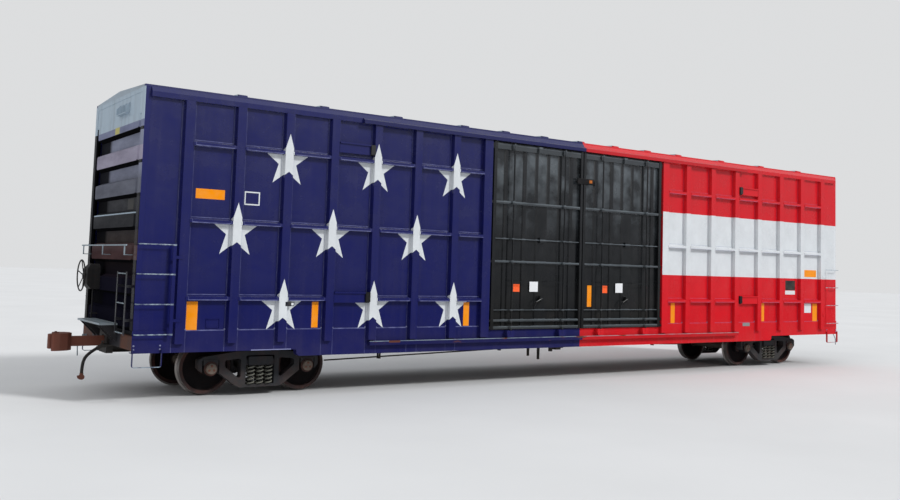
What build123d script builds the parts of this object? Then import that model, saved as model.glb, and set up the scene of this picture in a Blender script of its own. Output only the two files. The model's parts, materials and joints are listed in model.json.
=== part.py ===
from build123d import *
import math
import os

# Railroad boxcar, 60 ft class, high cube, with two plug doors on each side.
# Units are millimetres. X runs along the car with the hand brake end (B end) at -X and the other
# end (A end) at +X. The near side is -Y. Z is up, with z = 0 at the lowest points of the wheel flanges.

# Wheels and axles
tread_radius = 457.2
flange_height = 25.4
flange_base = 36.0             # from the wheel back to the throat of the flange
flange_round = 11.0
wheel_back = 676.5             # half the distance between wheel backs
rim_width = 145.0
rim_thickness = 62.0
tread_taper = 6.0
plate_root = 30.0              # from the wheel back to the plate at the hub
plate_lean = 30.0              # how far the plate leans outward between hub and rim
plate_thickness = 28.0
hub_radius = 140.0
hub_overhang = 40.0            # how far the hub reaches inward past the wheel back
hub_set_back = 8.0             # from the rim's face in to the hub's face
axle_radius = 84.0
seal_radius = 96.0
journal_centre = 1003.3        # half the distance between journal centres
bearing_radius = 126.0
bearing_length = 184.0
cap_radius = 92.0
cap_length = 46.0
cap_bevel = 12.0
wheelbase = 1778.0

axle_z = tread_radius + flange_height
rail = flange_height           # height of the rail head above z = 0

# Body heights above the rail head
sill_bottom_middle = rail + 672.0
sill_bottom_ends = rail + 786.0
sill_top = rail + 1140.0
floor_bottom = rail + 1050.0
floor_top = rail + 1105.0
chord_bottom = rail + 4868.0
eave = rail + 5030.0
ridge = rail + 5140.0
coupler_height = rail + 876.0
stiffener_heights = [rail + 1665.0, rail + 2924.0, rail + 4186.0]

# Body plan
body_length = 18794.0
end_overhang = 2348.5          # from the end of the body to the centre of its truck
sheet_plane = 1507.0           # half width over the side sheets
wall = 52.0                    # side sheet with its inside lining
post_depth = 81.0
end_sheet = 40.0               # end sheet with its lining
half_length = body_length / 2
truck_centres = body_length - 2 * end_overhang
post_plane = sheet_plane + post_depth
corner_strip = 97.0
corner_round = 14.0
corner_lap = 150.0             # how far a corner post reaches round on to the end
joint_gap = 0.3                # between faces of pieces that only lie close
running_gap = 0.6              # round a bearing in its adapter

# Side posts: first post from the middle, pitch and count, mirrored about the middle of the car
post_first = 3350.0
post_count = 7
post_margin = 726.8            # from the last post to the end of the body
post_pitch = (half_length - post_margin - post_first) / (post_count - 1)
post_face = 150.0
post_base = 166.0
post_flange = 232.0
post_steel = 6.0
post_foot = rail + 925.0
door_post_centre = 2575.0
door_post_width = 198.0
door_post_steel = 10.0
stiffener_height = 78.0
stiffener_slope = 24.0
stiffener_lip = 20.0
stiffener_proud = 8.0
stiffener_lap = 4.0
stop_bay = 3                   # the bay between posts, counted from the door post, that holds the door stops

# Doorway and doors
doorway_half = door_post_centre - door_post_width / 2
door_gap = 26.0
door_side_gap = 6.0
door_sheet_set_back = 8.0      # outer face of a door's sheet behind the side sheets
door_bottom = rail + 1068.0
door_sill_gap = 8.0
door_top = rail + 4850.0
door_frame = 62.0
door_frame_proud = 62.0
door_edge_bar = 72.0
door_edge_margin = 46.0
hanger_beam_proud = 54.0
door_rod_offset = 688.0
door_rod_radius = 17.0
door_width = doorway_half - door_side_gap - door_gap / 2
door_left = {"b": -doorway_half + door_side_gap, "a": door_gap / 2}
door_rod_y = sheet_plane + door_frame_proud + door_rod_radius + 18.0

# Underframe
centre_sill_half = 176.0
centre_sill_web = 12.5
centre_sill_flange = 90.0
centre_sill_bottom = rail + 700.0
striker_half = 232.0
striker_back = 70.0            # from the end of the body in to the back of the striker
striker_front = 40.0
draft_gear_start = 420.0       # from the end of the body in to the draft gear
draft_gear_length = 1100.0
bolster_half = 205.0
centre_plate_radius = 177.0
centre_plate_bottom = rail + 657.0
side_bearing_y = 635.0
coupler_reach = 903.0          # from the end of the body to the pulling face
wheel_clearance = 570.0        # from the inner axle to the last crossbearer, past the swung wheel
inner_axle = (truck_centres - wheelbase) / 2
bearer_half = 60.0
bearer_steel = 12.0
bearer_places = [1250.0, door_post_centre, 4250.0, inner_axle - wheel_clearance - 2 * bearer_half]
bearer_root = rail + 760.0     # underside of a crossbearer at the centre sill
bearer_tip_depth = 110.0
wing_bottom = rail + 735.0     # underside of a body bolster near the middle
wing_tip_depth = 150.0
pipe_y = 285.0                 # from the car's middle line: right of each coupler, seen from outside
pipe_z = rail + 820.0
pipe_radius = 21.0
pipe_crossing = 600.0          # the pipe crosses the centre sill between -600 and +600
shank_half = 66.0
shank_half_height = 80.0

from_foot = (Align.CENTER, Align.CENTER, Align.MIN)
same_place = 0.01              # corners closer than this are one corner
bar_sides = 8


def block(x0, x1, y0, y1, z0, z1):
    """A box between two corners."""
    return Pos((x0 + x1) / 2, (y0 + y1) / 2, (z0 + z1) / 2) * Box(abs(x1 - x0), abs(y1 - y0), abs(z1 - z0))


def face_of(outline):
    """A flat face from a list of points, or the face itself."""
    return make_face(Polyline(*outline, close=True)) if isinstance(outline, list) else outline


def along_x(outline, x0, x1):
    """An outline in Y and Z carried from x0 to x1."""
    plane = Plane(origin=(x0, 0, 0), x_dir=(0, 1, 0), z_dir=(1, 0, 0))
    return extrude(plane * face_of(outline), amount=x1 - x0, dir=(1, 0, 0))


def along_y(outline, y0, y1):
    """An outline in X and Z carried from y0 to y1."""
    plane = Plane(origin=(0, y0, 0), x_dir=(1, 0, 0), z_dir=(0, -1, 0))
    return extrude(plane * face_of(outline), amount=y1 - y0, dir=(0, 1, 0))


def along_z(outline, z0, z1):
    """An outline in X and Y carried from z0 to z1."""
    return extrude(Pos(0, 0, z0) * face_of(outline), amount=z1 - z0, dir=(0, 0, 1))


def both_halves(half):
    """A closed outline from the points of its positive half, mirrored across the second axis."""
    return half + [(-a, b) for a, b in reversed(half)]


def rounded(points, corners, radius):
    """A flat face with some corners of its outline, given by their places in the list, rounded."""
    face = make_face(Polyline(*points, close=True))
    chosen = [vertex for vertex in face.vertices()
              if any(math.dist((vertex.X, vertex.Y), points[k]) < same_place for k in corners)]
    return fillet(chosen, radius)


def rod(start, finish, radius):
    """A round bar between two points."""
    start = Vector(*start)
    run = Vector(*finish) - start
    return Plane(origin=start, z_dir=run) * Cylinder(radius, run.length, align=from_foot)


def bar(points, radius, sides=bar_sides):
    """A thin bar with a many-sided section along straight runs, mitred at its bends."""
    path = Polyline(*points)
    section = Plane(origin=path @ 0, z_dir=path % 0) * RegularPolygon(radius, sides)
    return sweep(section, path=path, transition=Transition.RIGHT)


def turned_shape(profile, plane):
    """A profile of distance along an axis and radius, turned about the plane's x axis."""
    face = plane * make_face(Polyline(*profile, close=True))
    return revolve(face, axis=Axis(plane.origin, plane.x_dir), revolution_arc=360)


def fuse(pieces):
    """One solid from pieces that touch."""
    whole = pieces[0]
    for piece in pieces[1:]:
        whole = whole + piece
    return whole


def both_sides(piece):
    """A near-side piece and its mirror image on the far side."""
    return [piece, mirror(piece, about=Plane.XZ)]


def both_ends(piece):
    """A B-end piece and its mirror image at the A end."""
    return [piece, mirror(piece, about=Plane.YZ)]


def four_corners(piece):
    """A piece at the near B corner and its mirror images at the other three corners."""
    return [copy for near in both_sides(piece) for copy in both_ends(near)]


def turned(piece):
    """A piece and its copy turned half way round the car."""
    return [piece, Rot(0, 0, 180) * piece]


def solids_of(pieces):
    """The solids of one or several shapes as one flat list."""
    if not isinstance(pieces, (list, tuple)):
        pieces = [pieces]
    found = []
    for piece in pieces:
        found.extend(piece.solids())
    return found


def write(name, pieces):
    """Writes one node's solids to its own file."""
    found = solids_of(pieces)
    shape = found[0] if len(found) == 1 else Compound(children=found)
    export_step(shape, os.path.join("parts", name + ".step"))


# Wheelset

def wheelset(x):
    """Axle, two wheels, roller bearings and end caps turned as one body about the axle line."""
    rim_front = wheel_back + rim_width
    rim_inner = tread_radius - rim_thickness
    flange_tip = tread_radius + flange_height
    plate_back = wheel_back + plate_root
    bearing_in = journal_centre - bearing_length / 2
    bearing_out = journal_centre + bearing_length / 2
    # distance from the middle of the axle, radius
    half = [
        (wheel_back - hub_overhang, axle_radius), (wheel_back - hub_overhang, hub_radius),
        (plate_back, hub_radius), (plate_back + plate_lean, rim_inner), (wheel_back, rim_inner),
        (wheel_back, flange_tip - flange_round), (wheel_back + flange_round, flange_tip),
        (wheel_back + flange_base, tread_radius), (rim_front, tread_radius - tread_taper),
        (rim_front, rim_inner), (plate_back + plate_lean + plate_thickness, rim_inner),
        (plate_back + plate_thickness, hub_radius), (rim_front - hub_set_back, hub_radius),
        (rim_front - hub_set_back, seal_radius), (bearing_in, seal_radius), (bearing_in, bearing_radius),
        (bearing_out, bearing_radius), (bearing_out, cap_radius),
        (bearing_out + cap_length - cap_bevel, cap_radius),
        (bearing_out + cap_length, cap_radius - cap_bevel), (bearing_out + cap_length, 0),
    ]
    profile = [(-y, radius) for y, radius in reversed(half)] + half
    return turned_shape(profile, Plane(origin=(x, 0, axle_z), x_dir=(0, 1, 0), z_dir=(1, 0, 0)))


# Truck

frame_half = 78.0              # half the thickness of a cast side frame
frame_top = rail + 735.0
frame_shoulder = rail + 690.0
frame_end_height = rail + 610.0
frame_foot = rail + 118.0
frame_foot_half = 360.0
frame_arch_half = 430.0
foot_bevel = 30.0
jaw_reach = 215.0              # from the axle to the end of the frame
jaw_outer_foot = rail + 400.0
jaw_inner_foot = rail + 380.0
jaw_nose = 70.0
shoulder_half = 130.0          # the flat over each journal, each way from the axle
shoulder_drop = 35.0
adapter_crown = 10.0
pedestal_half = bearing_radius + 22.0
pedestal_roof = axle_z + bearing_radius + 7.0
adapter_foot = axle_z + 50.0
adapter_margin = 20.0
top_member = 75.0
column = 90.0                  # width of each column beside the window
window_half = 262.0            # half the width of the window that holds bolster and springs
window_round = 36.0
opening_reach = 640.0
opening_top = rail + 615.0
opening_drop = 30.0
opening_foot = rail + 250.0
opening_nose = rail + 480.0
spring_seat = rail + 168.0
spring_top = rail + 492.0
spring_radius = 66.0
spring_pitch = 164.0
spring_gap = 6.0
bolster_clearance = 42.0
bolster_half_width = window_half - bolster_clearance
beam_clearance = 54.0
bolster_end = 1104.0
bolster_top = rail + 690.0
bolster_end_top = rail + 640.0
bolster_belly = rail + 395.0
bolster_belly_half = 420.0
bolster_waist = 780.0
bolster_saddle = 45.0
bowl_rim = 26.0
bowl_gap = 6.0
side_bearing_half = 62.0
side_bearing_top = rail + 716.0
wedge_height = 110.0
wedge_top = 20.0
wedge_margin = 10.0
bolster_shoulder = 20.0
bolster_saddle_reach = 140.0
bolster_round = 90.0
bowl_boss_height = 74.0
bowl_boss_drop = 22.0
bowl_depth = 100.0
side_bearing_reach = 110.0
side_bearing_root = 60.0
rod_hole_y = bolster_belly_half * 0.7
rod_hole_width = 150.0
rod_hole_height = 90.0


def side_frame(x, side):
    """Cast side frame: an arch over both journals, with jaws, adapters, a spring window and two openings."""
    reach = wheelbase / 2
    half = [
        (frame_arch_half, frame_top), (reach - shoulder_half, frame_shoulder),
        (reach + shoulder_half, frame_shoulder - shoulder_drop), (reach + jaw_reach, frame_end_height),
        (reach + jaw_reach, jaw_outer_foot + jaw_nose),
        (reach + pedestal_half, jaw_outer_foot), (reach + pedestal_half, pedestal_roof),
        (reach - pedestal_half, pedestal_roof), (reach - pedestal_half, jaw_inner_foot),
        (frame_arch_half, frame_foot + foot_bevel), (frame_foot_half, frame_foot),
    ]
    outline = both_halves(half)
    last = len(outline) - 1
    face = rounded(outline, [3, last - 3], window_round)
    centre = side * journal_centre
    window_top = frame_top - top_member
    window = [(window_half, window_top), (window_half, spring_seat), (-window_half, spring_seat),
              (-window_half, window_top)]
    face -= rounded(window, [0, 3], window_round)
    inner = window_half + column
    for end in (-1, 1):
        opening = [(end * inner, opening_top), (end * opening_reach, opening_top - opening_drop),
                   (end * opening_reach, opening_nose), (end * inner, opening_foot)]
        face -= rounded(opening, [0, 1, 2, 3], window_round)
    frame = along_y(face, -frame_half, frame_half)
    for end in (-1, 1):
        adapter_half = pedestal_half - adapter_margin
        adapter = block(end * reach - adapter_half, end * reach + adapter_half, -bearing_length / 2,
                        bearing_length / 2, adapter_foot, pedestal_roof + adapter_crown)
        journal = Plane(origin=(end * reach, 0, axle_z), z_dir=(0, 1, 0))
        frame += adapter - journal * Cylinder(bearing_radius + running_gap, 2 * bearing_length)
    return Pos(x, centre, 0) * frame


def friction_wedges(x):
    """Friction wedges between the bolster and the columns of both side frames, on the outer springs."""
    found = []
    foot = spring_top + joint_gap
    head = foot + wedge_height
    face = window_half - joint_gap
    half_width = frame_half - wedge_margin
    for side in (-1, 1):
        for end in (-1, 1):
            outline = [(x + end * (bolster_half_width + joint_gap), foot), (x + end * face, foot),
                       (x + end * face, head), (x + end * (face - wedge_top), head)]
            centre = side * journal_centre
            found.append(along_y(outline, centre - half_width, centre + half_width))
    return found


def truck_springs(x):
    """Spring nests: three across and two deep under each end of the bolster."""
    nests = []
    for side in (-1, 1):
        for across in (-1, 0, 1):
            for deep in (-1, 1):
                y = side * journal_centre + deep * (spring_radius + spring_gap / 2)
                nests.append(rod((x + across * spring_pitch, y, spring_seat + joint_gap),
                                 (x + across * spring_pitch, y, spring_top - joint_gap), spring_radius))
    return nests


def truck_bolster(x):
    """Cast bolster across the truck, deep at the middle, with a centre bowl, side bearings and rod holes."""
    half = [
        (bolster_belly_half, bolster_belly), (bolster_waist, spring_top), (bolster_end, spring_top),
        (bolster_end, bolster_end_top),
        (bolster_waist + bolster_shoulder, bolster_top - bolster_shoulder),
        (bolster_belly_half + bolster_saddle_reach, bolster_top - bolster_saddle),
    ]
    outline = both_halves(half)
    last = len(outline) - 1
    profile = rounded(outline, [0, 1, last, last - 1], bolster_round)
    body = along_x(profile, x - bolster_half_width, x + bolster_half_width)
    boss = Pos(x, 0, centre_plate_bottom - bowl_boss_drop)
    body += boss * Cylinder(centre_plate_radius + bowl_rim, bowl_boss_height)
    bowl = Pos(x, 0, centre_plate_bottom + bowl_depth / 2)
    body -= bowl * Cylinder(centre_plate_radius + bowl_gap, bowl_depth)
    for side in (-1, 1):
        y = side * side_bearing_y
        body += block(x - side_bearing_reach, x + side_bearing_reach, y - side_bearing_half,
                      y + side_bearing_half, bolster_top - side_bearing_root, side_bearing_top)
        slot = Pos(x, side * rod_hole_y, (bolster_belly + bolster_top) / 2)
        body -= slot * Box(3 * bolster_half_width, rod_hole_width, rod_hole_height)
    return body


shoe_gap = 8.0
shoe_thickness = 46.0
shoe_half_angle = 17.0
shoe_centre = 92.0             # from the wheel back to the middle of the tread
shoe_half_width = 42.0
beam_drop = 40.0
beam_half_height = 35.0
strut_half = 26.0
beam_lap = 6.0
beam_back_half = 560.0
beam_head_margin = 60.0


def brake_beams(x):
    """Brake beams with a curved shoe and its head against each wheel, hung inside the wheelbase."""
    beams = []
    height = axle_z - beam_drop
    centre = wheel_back + shoe_centre
    inner = tread_radius + shoe_gap
    outer = inner + shoe_thickness
    back = bolster_half_width + beam_clearance
    front = wheelbase / 2 - outer + beam_lap
    middle = (back + front) / 2
    tip = centre + beam_head_margin
    for end in (-1, 1):
        half = [(beam_back_half, back), (tip, middle), (tip, front)]
        plan = [(x + end * along, -aside) for aside, along in half]
        plan += [(x + end * along, aside) for aside, along in reversed(half)]
        seat = journal_centre - frame_half - joint_gap
        parts = [along_z(plan, height - beam_half_height, height + beam_half_height),
                 block(x + end * (middle - strut_half), x + end * (middle + strut_half), -seat, seat,
                       height - strut_half, height + strut_half)]
        axle_x = x + end * wheelbase / 2
        corners = []
        for radius, turns in ((inner, (-1, 0, 1)), (outer, (1, 0, -1))):
            for turn in turns:
                angle = math.radians(turn * shoe_half_angle)
                corners.append((axle_x - end * radius * math.cos(angle), axle_z + radius * math.sin(angle)))
        back_arc, tread_arc = corners[:3], corners[3:]
        curve = [ThreePointArc(*back_arc), Line(back_arc[-1], tread_arc[0]), ThreePointArc(*tread_arc),
                 Line(tread_arc[-1], back_arc[0])]
        shoe = make_face(Curve() + curve)
        for side in (-1, 1):
            parts.append(along_y(shoe, side * centre - shoe_half_width, side * centre + shoe_half_width))
        beams.append(fuse(parts))
    return beams


# Body sides

sill_plate = 12.0
sill_flange = 118.0
sill_notch = 468.5             # from the truck's centre towards the middle of the car
sill_step_x = truck_centres / 2 - sill_notch
sill_bend = 60.0
sill_foot_round = 66.0
sill_step_round = 34.0
post_relief = 10.0


def side_sheets(side):
    """Side sheets with their lining, one each side of the doorway, at one side of the car."""
    pieces = []
    for end in (-1, 1):
        pieces.append(block(end * doorway_half, end * (half_length - corner_strip - joint_gap),
                            side * (sheet_plane - wall), side * sheet_plane,
                            floor_bottom + joint_gap, chord_bottom - joint_gap))
    return pieces


def pressed_post(centre, side, z0, z1):
    """Pressed hat-shaped side post: an open section standing on the sheet with a flange at each edge."""
    depth = post_depth - joint_gap
    steel = post_steel
    half = [
        (post_face / 2, depth), (post_base / 2, steel), (post_flange / 2, steel), (post_flange / 2, 0),
        (post_base / 2 - steel, 0), (post_face / 2 - steel, depth - steel),
    ]
    section = [(centre + a, side * (sheet_plane + joint_gap + b)) for a, b in both_halves(half)]
    foot = [(centre + a, side * (sheet_plane + joint_gap + b))
            for a, b in both_halves([(post_face / 2, depth), (post_base / 2, steel)])]
    return along_z(section, z0, z1) + along_z(foot, z0, z0 + steel)


def door_post(centre, side, z0, z1):
    """Door post: an open channel beside the doorway, its back to the outside."""
    depth = post_depth - joint_gap
    steel = door_post_steel
    half = [(door_post_width / 2, depth), (door_post_width / 2, 0), (door_post_width / 2 - steel, 0),
            (door_post_width / 2 - steel, depth - steel)]
    section = [(centre + a, side * (sheet_plane + joint_gap + b)) for a, b in both_halves(half)]
    return along_z(section, z0, z1)


def side_posts(side):
    """Posts and the three rows of stiffeners between them, one welded frame each side of the doorway."""
    frames = []
    top = chord_bottom - joint_gap
    root = side * (sheet_plane + joint_gap)
    lip = root + side * post_steel
    out = side * (post_plane + stiffener_proud)
    sill_face = side * (sheet_plane + sill_plate + 2 * joint_gap)
    half = stiffener_height / 2
    for end in (-1, 1):
        centres = [door_post_centre] + [post_first + post_pitch * k for k in range(post_count)]
        pieces = [door_post(end * centres[0], side, post_foot, top)]
        pieces += [pressed_post(end * centre, side, post_foot, top) for centre in centres[1:]]
        for row, height in enumerate(stiffener_heights):
            section = [(root, height - half - stiffener_lip), (lip, height - half - stiffener_lip),
                       (lip, height - half), (out, height - half), (out, height + half - stiffener_slope),
                       (lip, height + half), (lip, height + half + stiffener_lip),
                       (root, height + half + stiffener_lip)]
            for k in range(len(centres) - 1):
                if row == 0 and k == stop_bay:
                    continue
                inner = centres[k] + (door_post_width if k == 0 else post_face) / 2 - stiffener_lap
                outer = centres[k + 1] - post_face / 2 + stiffener_lap
                pieces.append(along_x(section, min(end * inner, end * outer), max(end * inner, end * outer)))
        frame = fuse(pieces)
        frame -= block(-half_length, half_length, side * sheet_plane, sill_face, post_foot - post_relief,
                       sill_top + joint_gap)
        frames.append(frame)
    return frames


def side_sill(side):
    """Side sill: deep between the trucks and shallower at both ends, with an inward flange along its foot."""
    inner = side * (sheet_plane + joint_gap)
    outer = inner + side * sill_plate
    notch = door_bottom - door_sill_gap
    splice = sill_step_x + sill_bend
    outline = both_halves([
        (sill_step_x, sill_bottom_middle), (sill_step_x, sill_bottom_ends), (splice, sill_bottom_ends),
        (splice, sill_top), (doorway_half, sill_top), (doorway_half, notch),
    ])
    last = len(outline) - 1
    face = fillet([vertex for vertex in rounded(outline, [0, last], sill_foot_round).vertices()
                   if math.dist((abs(vertex.X), vertex.Y), outline[1]) < same_place], sill_step_round)
    strip = face - offset(face, amount=-sill_plate)
    strip = strip & (Pos(0, (sill_bottom_middle + sill_bottom_ends + sill_plate) / 2)
                     * Rectangle(2 * splice, sill_bottom_ends + sill_plate - sill_bottom_middle))
    back = inner - side * sill_flange
    plate = along_y(face, min(inner, outer), max(inner, outer))
    found = [plate + along_y(strip, min(inner, back), max(inner, back))]
    for end in (-1, 1):
        x0, x1 = end * (splice + joint_gap), end * half_length
        found.append(block(x0, x1, inner, outer, sill_bottom_ends, sill_top)
                     + block(x0, x1, outer, back, sill_bottom_ends, sill_bottom_ends + sill_plate))
    return found


chord_proud = 58.0
chord_face_top = 78.0          # from the eave down to the top of the chord's upright face
chord_edge = 6.0


def top_chord(side):
    """Top chord: a closed section over the side sheets whose upper face slopes in to the roof."""
    inner, outer = side * (sheet_plane - wall), side * (sheet_plane + chord_proud)
    section = [
        (inner, chord_bottom), (outer, chord_bottom), (outer, eave - chord_face_top),
        (side * (sheet_plane + chord_edge), eave), (inner, eave),
    ]
    reach = half_length - corner_strip
    return along_x(section, -reach, reach)


def corner_post():
    """Corner post at full height: an angle with a rounded edge, lapping on to the side and the end."""
    strip = corner_strip - joint_gap
    outline = [
        (-half_length, -sheet_plane), (-half_length + strip, -sheet_plane),
        (-half_length + strip, -sheet_plane + wall), (-half_length + end_sheet, -sheet_plane + wall),
        (-half_length + end_sheet, -sheet_plane + corner_lap), (-half_length, -sheet_plane + corner_lap),
    ]
    return along_z(rounded(outline, [0], corner_round), sill_top + joint_gap, eave)


# Ends and roof

rib_depth = 98.0
rib_top = rail + 4505.0
rib_pitch = 535.0
rib_count = 7
rib_crest = 236.0
rib_root = 330.0
rib_root_half = 1350.0
rib_crest_half = 1240.0
rib_round = 60.0
end_panel_half = sheet_plane - corner_lap - joint_gap
end_inner = half_length - rib_depth - end_sheet
cap_panel_set_back = 8.0
cap_panel_overlap = 60.0
panel_rim = 6.0
panel_rim_height = 70.0
bracket_half = 290.0
bracket_y = -380.0
bracket_depth = 70.0
bracket_steel = 12.0
bracket_bottom = rail + 4690.0
bracket_height = 190.0
bracket_front_share = 0.6      # a cheek's height at its outer edge
bracket_cheeks = [-290.0, -90.0, 110.0, 278.0]


def pressed_rib(end, height):
    """One pressed rib: its root on the end sheet drawn in to a narrower crest, with rounded corners."""
    root = Plane(origin=(end * (half_length - rib_depth), 0, height), x_dir=(0, end, 0), z_dir=(end, 0, 0))
    crest = Plane(origin=(end * half_length, 0, height), x_dir=(0, end, 0), z_dir=(end, 0, 0))
    crest_round = rib_round * rib_crest / rib_root
    return loft([root * RectangleRounded(2 * rib_root_half, rib_root, rib_round),
                 crest * RectangleRounded(2 * rib_crest_half, rib_crest, crest_round)], ruled=True)


def car_end(end):
    """End wall: a sheet with deep pressed ribs, a plain panel at the top and a hand bracket on it."""
    face = end * (half_length - rib_depth)
    pieces = [block(end * end_inner, face, -end_panel_half, end_panel_half, floor_top + joint_gap,
                    eave - joint_gap)]
    pieces += [pressed_rib(end, rib_top - rib_pitch * k) for k in range(rib_count)]
    panel_face = end * (half_length - cap_panel_set_back)
    pieces.append(block(face, panel_face, -end_panel_half, end_panel_half,
                        rib_top + rib_root / 2 - cap_panel_overlap, eave - joint_gap))
    pieces.append(block(panel_face, panel_face + end * panel_rim, -end_panel_half, end_panel_half,
                        eave - panel_rim_height, eave - joint_gap))
    middle = -end * bracket_y
    shelf_edge = panel_face + end * bracket_depth
    pieces.append(block(panel_face, shelf_edge, middle - bracket_half, middle + bracket_half,
                        bracket_bottom, bracket_bottom + bracket_steel))
    for offset in bracket_cheeks:
        cheek = [(panel_face, bracket_bottom), (shelf_edge, bracket_bottom),
                 (shelf_edge, bracket_bottom + bracket_height * bracket_front_share),
                 (panel_face, bracket_bottom + bracket_height)]
        pieces.append(along_y(cheek, middle + offset, middle + offset + bracket_steel))
    return fuse(pieces)


roof_thickness = 34.0
roof_edge_set_back = 12.0
roof_end_set_back = 4.0
roof_liner_set_back = 60.0
cap_width = 150.0
cap_height = 34.0
cap_drop = 60.0                # where a cap bends down to the eave
cap_pitch_middle = 1034.0
cap_margin = 1645.0            # from the last roof cap to the end of the body
cap_bays = 3                   # bays of each pitch, each way from the middle
cap_pitch_outer = (half_length - cap_margin - cap_bays * cap_pitch_middle) / cap_bays
cap_lap = 12.0
cap_edge_drop = 14.0
cap_bend_rise = 4.0
roof_overrun = 1.0
roof_inner_rise = 4.0


def roof():
    """Roof sheets, low-pitched both ways from the ridge, with a raised cap over each seam."""
    edge = sheet_plane - wall - joint_gap - roof_liner_set_back
    lip = sheet_plane - roof_edge_set_back
    top = eave + roof_thickness
    reach = half_length - roof_end_set_back
    whole = along_x([(-lip, eave + joint_gap), (lip, eave + joint_gap), (lip, top), (0, ridge), (-lip, top)],
                    -reach, reach)
    inside = end_inner - roof_liner_set_back
    springing = eave + roof_inner_rise
    whole -= along_x([(-edge, eave - roof_overrun), (edge, eave - roof_overrun), (edge, springing),
                      (0, ridge - roof_thickness), (-edge, springing)], -inside, inside)
    stations = [cap_pitch_middle * k for k in range(-cap_bays, cap_bays + 1)]
    last = cap_bays * cap_pitch_middle
    for k in range(1, cap_bays + 1):
        stations += [-last - cap_pitch_outer * k, last + cap_pitch_outer * k]
    cap = both_halves([(lip, top - cap_lap), (lip, top + cap_height - cap_edge_drop),
                       (lip - cap_drop, top + cap_height + cap_bend_rise)])
    cap = cap[:3] + [(0, ridge + cap_height)] + cap[3:] + [(0, ridge - cap_lap)]
    for x in stations:
        whole += along_x(cap, x - cap_width / 2, x + cap_width / 2)
    return whole


# Underframe

pipe_hole_margin = 100.0
striker_drop = 20.0
striker_cut = 100.0
striker_side_play = 14.0
striker_top_play = 16.0
wing_knee = 120.0              # from the side bearing out to where a wing begins to rise
body_bearing_half = 100.0
body_bearing_half_width = 60.0
body_bearing_lap = 20.0
side_bearing_clearance = 6.0
end_sill_bottom = rail + 830.0
end_sill_set_back = 2.0


def car_floor():
    """Floor over the underframe, between the side and end walls."""
    half_width = sheet_plane - wall - joint_gap
    return block(-end_inner - end_sheet, end_inner + end_sheet, -half_width, half_width,
                 floor_bottom + joint_gap, floor_top)


def bearer_bottom(y):
    """Height of a crossbearer's sloping underside at a distance y from the middle."""
    share = (y - centre_sill_half) / (sheet_plane - centre_sill_half)
    return bearer_root + share * (floor_bottom - bearer_tip_depth - bearer_root)


def pipe_runs(reach, radius):
    """The brake pipe's straight runs, which pass from one side of the centre sill to the other."""
    points = [(-reach, -pipe_y, pipe_z), (-pipe_crossing, -pipe_y, pipe_z), (pipe_crossing, pipe_y, pipe_z),
              (reach, pipe_y, pipe_z)]
    path = Polyline(*points)
    section = Plane(origin=path @ 0, z_dir=path % 0) * Circle(radius)
    return sweep(section, path=path, transition=Transition.RIGHT)


pipe_hole = pipe_runs(half_length + pipe_hole_margin, pipe_radius + joint_gap)


def centre_sill():
    """Centre sill: two Z sections back to back, with strikers, draft gear and body centre plates."""
    top = floor_bottom
    web_face = centre_sill_half - centre_sill_web
    reach = half_length - striker_back - joint_gap
    half = [
        (joint_gap / 2, top), (centre_sill_half, top),
        (centre_sill_half, centre_sill_bottom + centre_sill_web),
        (centre_sill_half + centre_sill_flange, centre_sill_bottom + centre_sill_web),
        (centre_sill_half + centre_sill_flange, centre_sill_bottom), (web_face, centre_sill_bottom),
        (web_face, top - centre_sill_web), (joint_gap / 2, top - centre_sill_web),
    ]
    found = [section - pipe_hole for section in both_sides(along_x(half, -reach, reach))]
    inner = web_face - joint_gap
    roof_of_sill = top - centre_sill_web - joint_gap
    for end in (-1, 1):
        x = end * truck_centres / 2
        plate = Pos(x, 0, (centre_plate_bottom + centre_sill_bottom - joint_gap) / 2) * Cylinder(
            centre_plate_radius, centre_sill_bottom - joint_gap - centre_plate_bottom)
        found.append(plate + block(x - bolster_half, x + bolster_half, -inner, inner,
                                   centre_sill_bottom - 2 * joint_gap, roof_of_sill))
        gear = end * (half_length - draft_gear_start)
        found.append(block(gear, gear - end * draft_gear_length, -inner, inner,
                           coupler_height - shank_half_height, roof_of_sill))
        striker = block(end * (half_length - striker_back), end * (half_length + striker_front),
                        -striker_half, striker_half, centre_sill_bottom - striker_drop, top)
        mouth_half = shank_half + striker_side_play
        striker -= block(end * (half_length - striker_cut), end * (half_length + striker_cut), -mouth_half,
                         mouth_half, coupler_height - shank_half_height - joint_gap,
                         coupler_height + shank_half_height + striker_top_play)
        found.append(striker)
    return found


def body_bolsters():
    """Body bolster wings, tapered outward, with a side bearing under each."""
    found = []
    root = centre_sill_half + joint_gap
    for end in (-1, 1):
        x = end * truck_centres / 2
        wing = along_x([(root, floor_bottom), (root, wing_bottom), (side_bearing_y + wing_knee, wing_bottom),
                        (sheet_plane, floor_bottom - wing_tip_depth), (sheet_plane, floor_bottom)],
                       x - bolster_half, x + bolster_half)
        wing += block(x - body_bearing_half, x + body_bearing_half, side_bearing_y - body_bearing_half_width,
                      side_bearing_y + body_bearing_half_width, side_bearing_top + side_bearing_clearance,
                      wing_bottom + body_bearing_lap)
        found.extend(piece - pipe_hole for piece in both_sides(wing))
    return found


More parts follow.
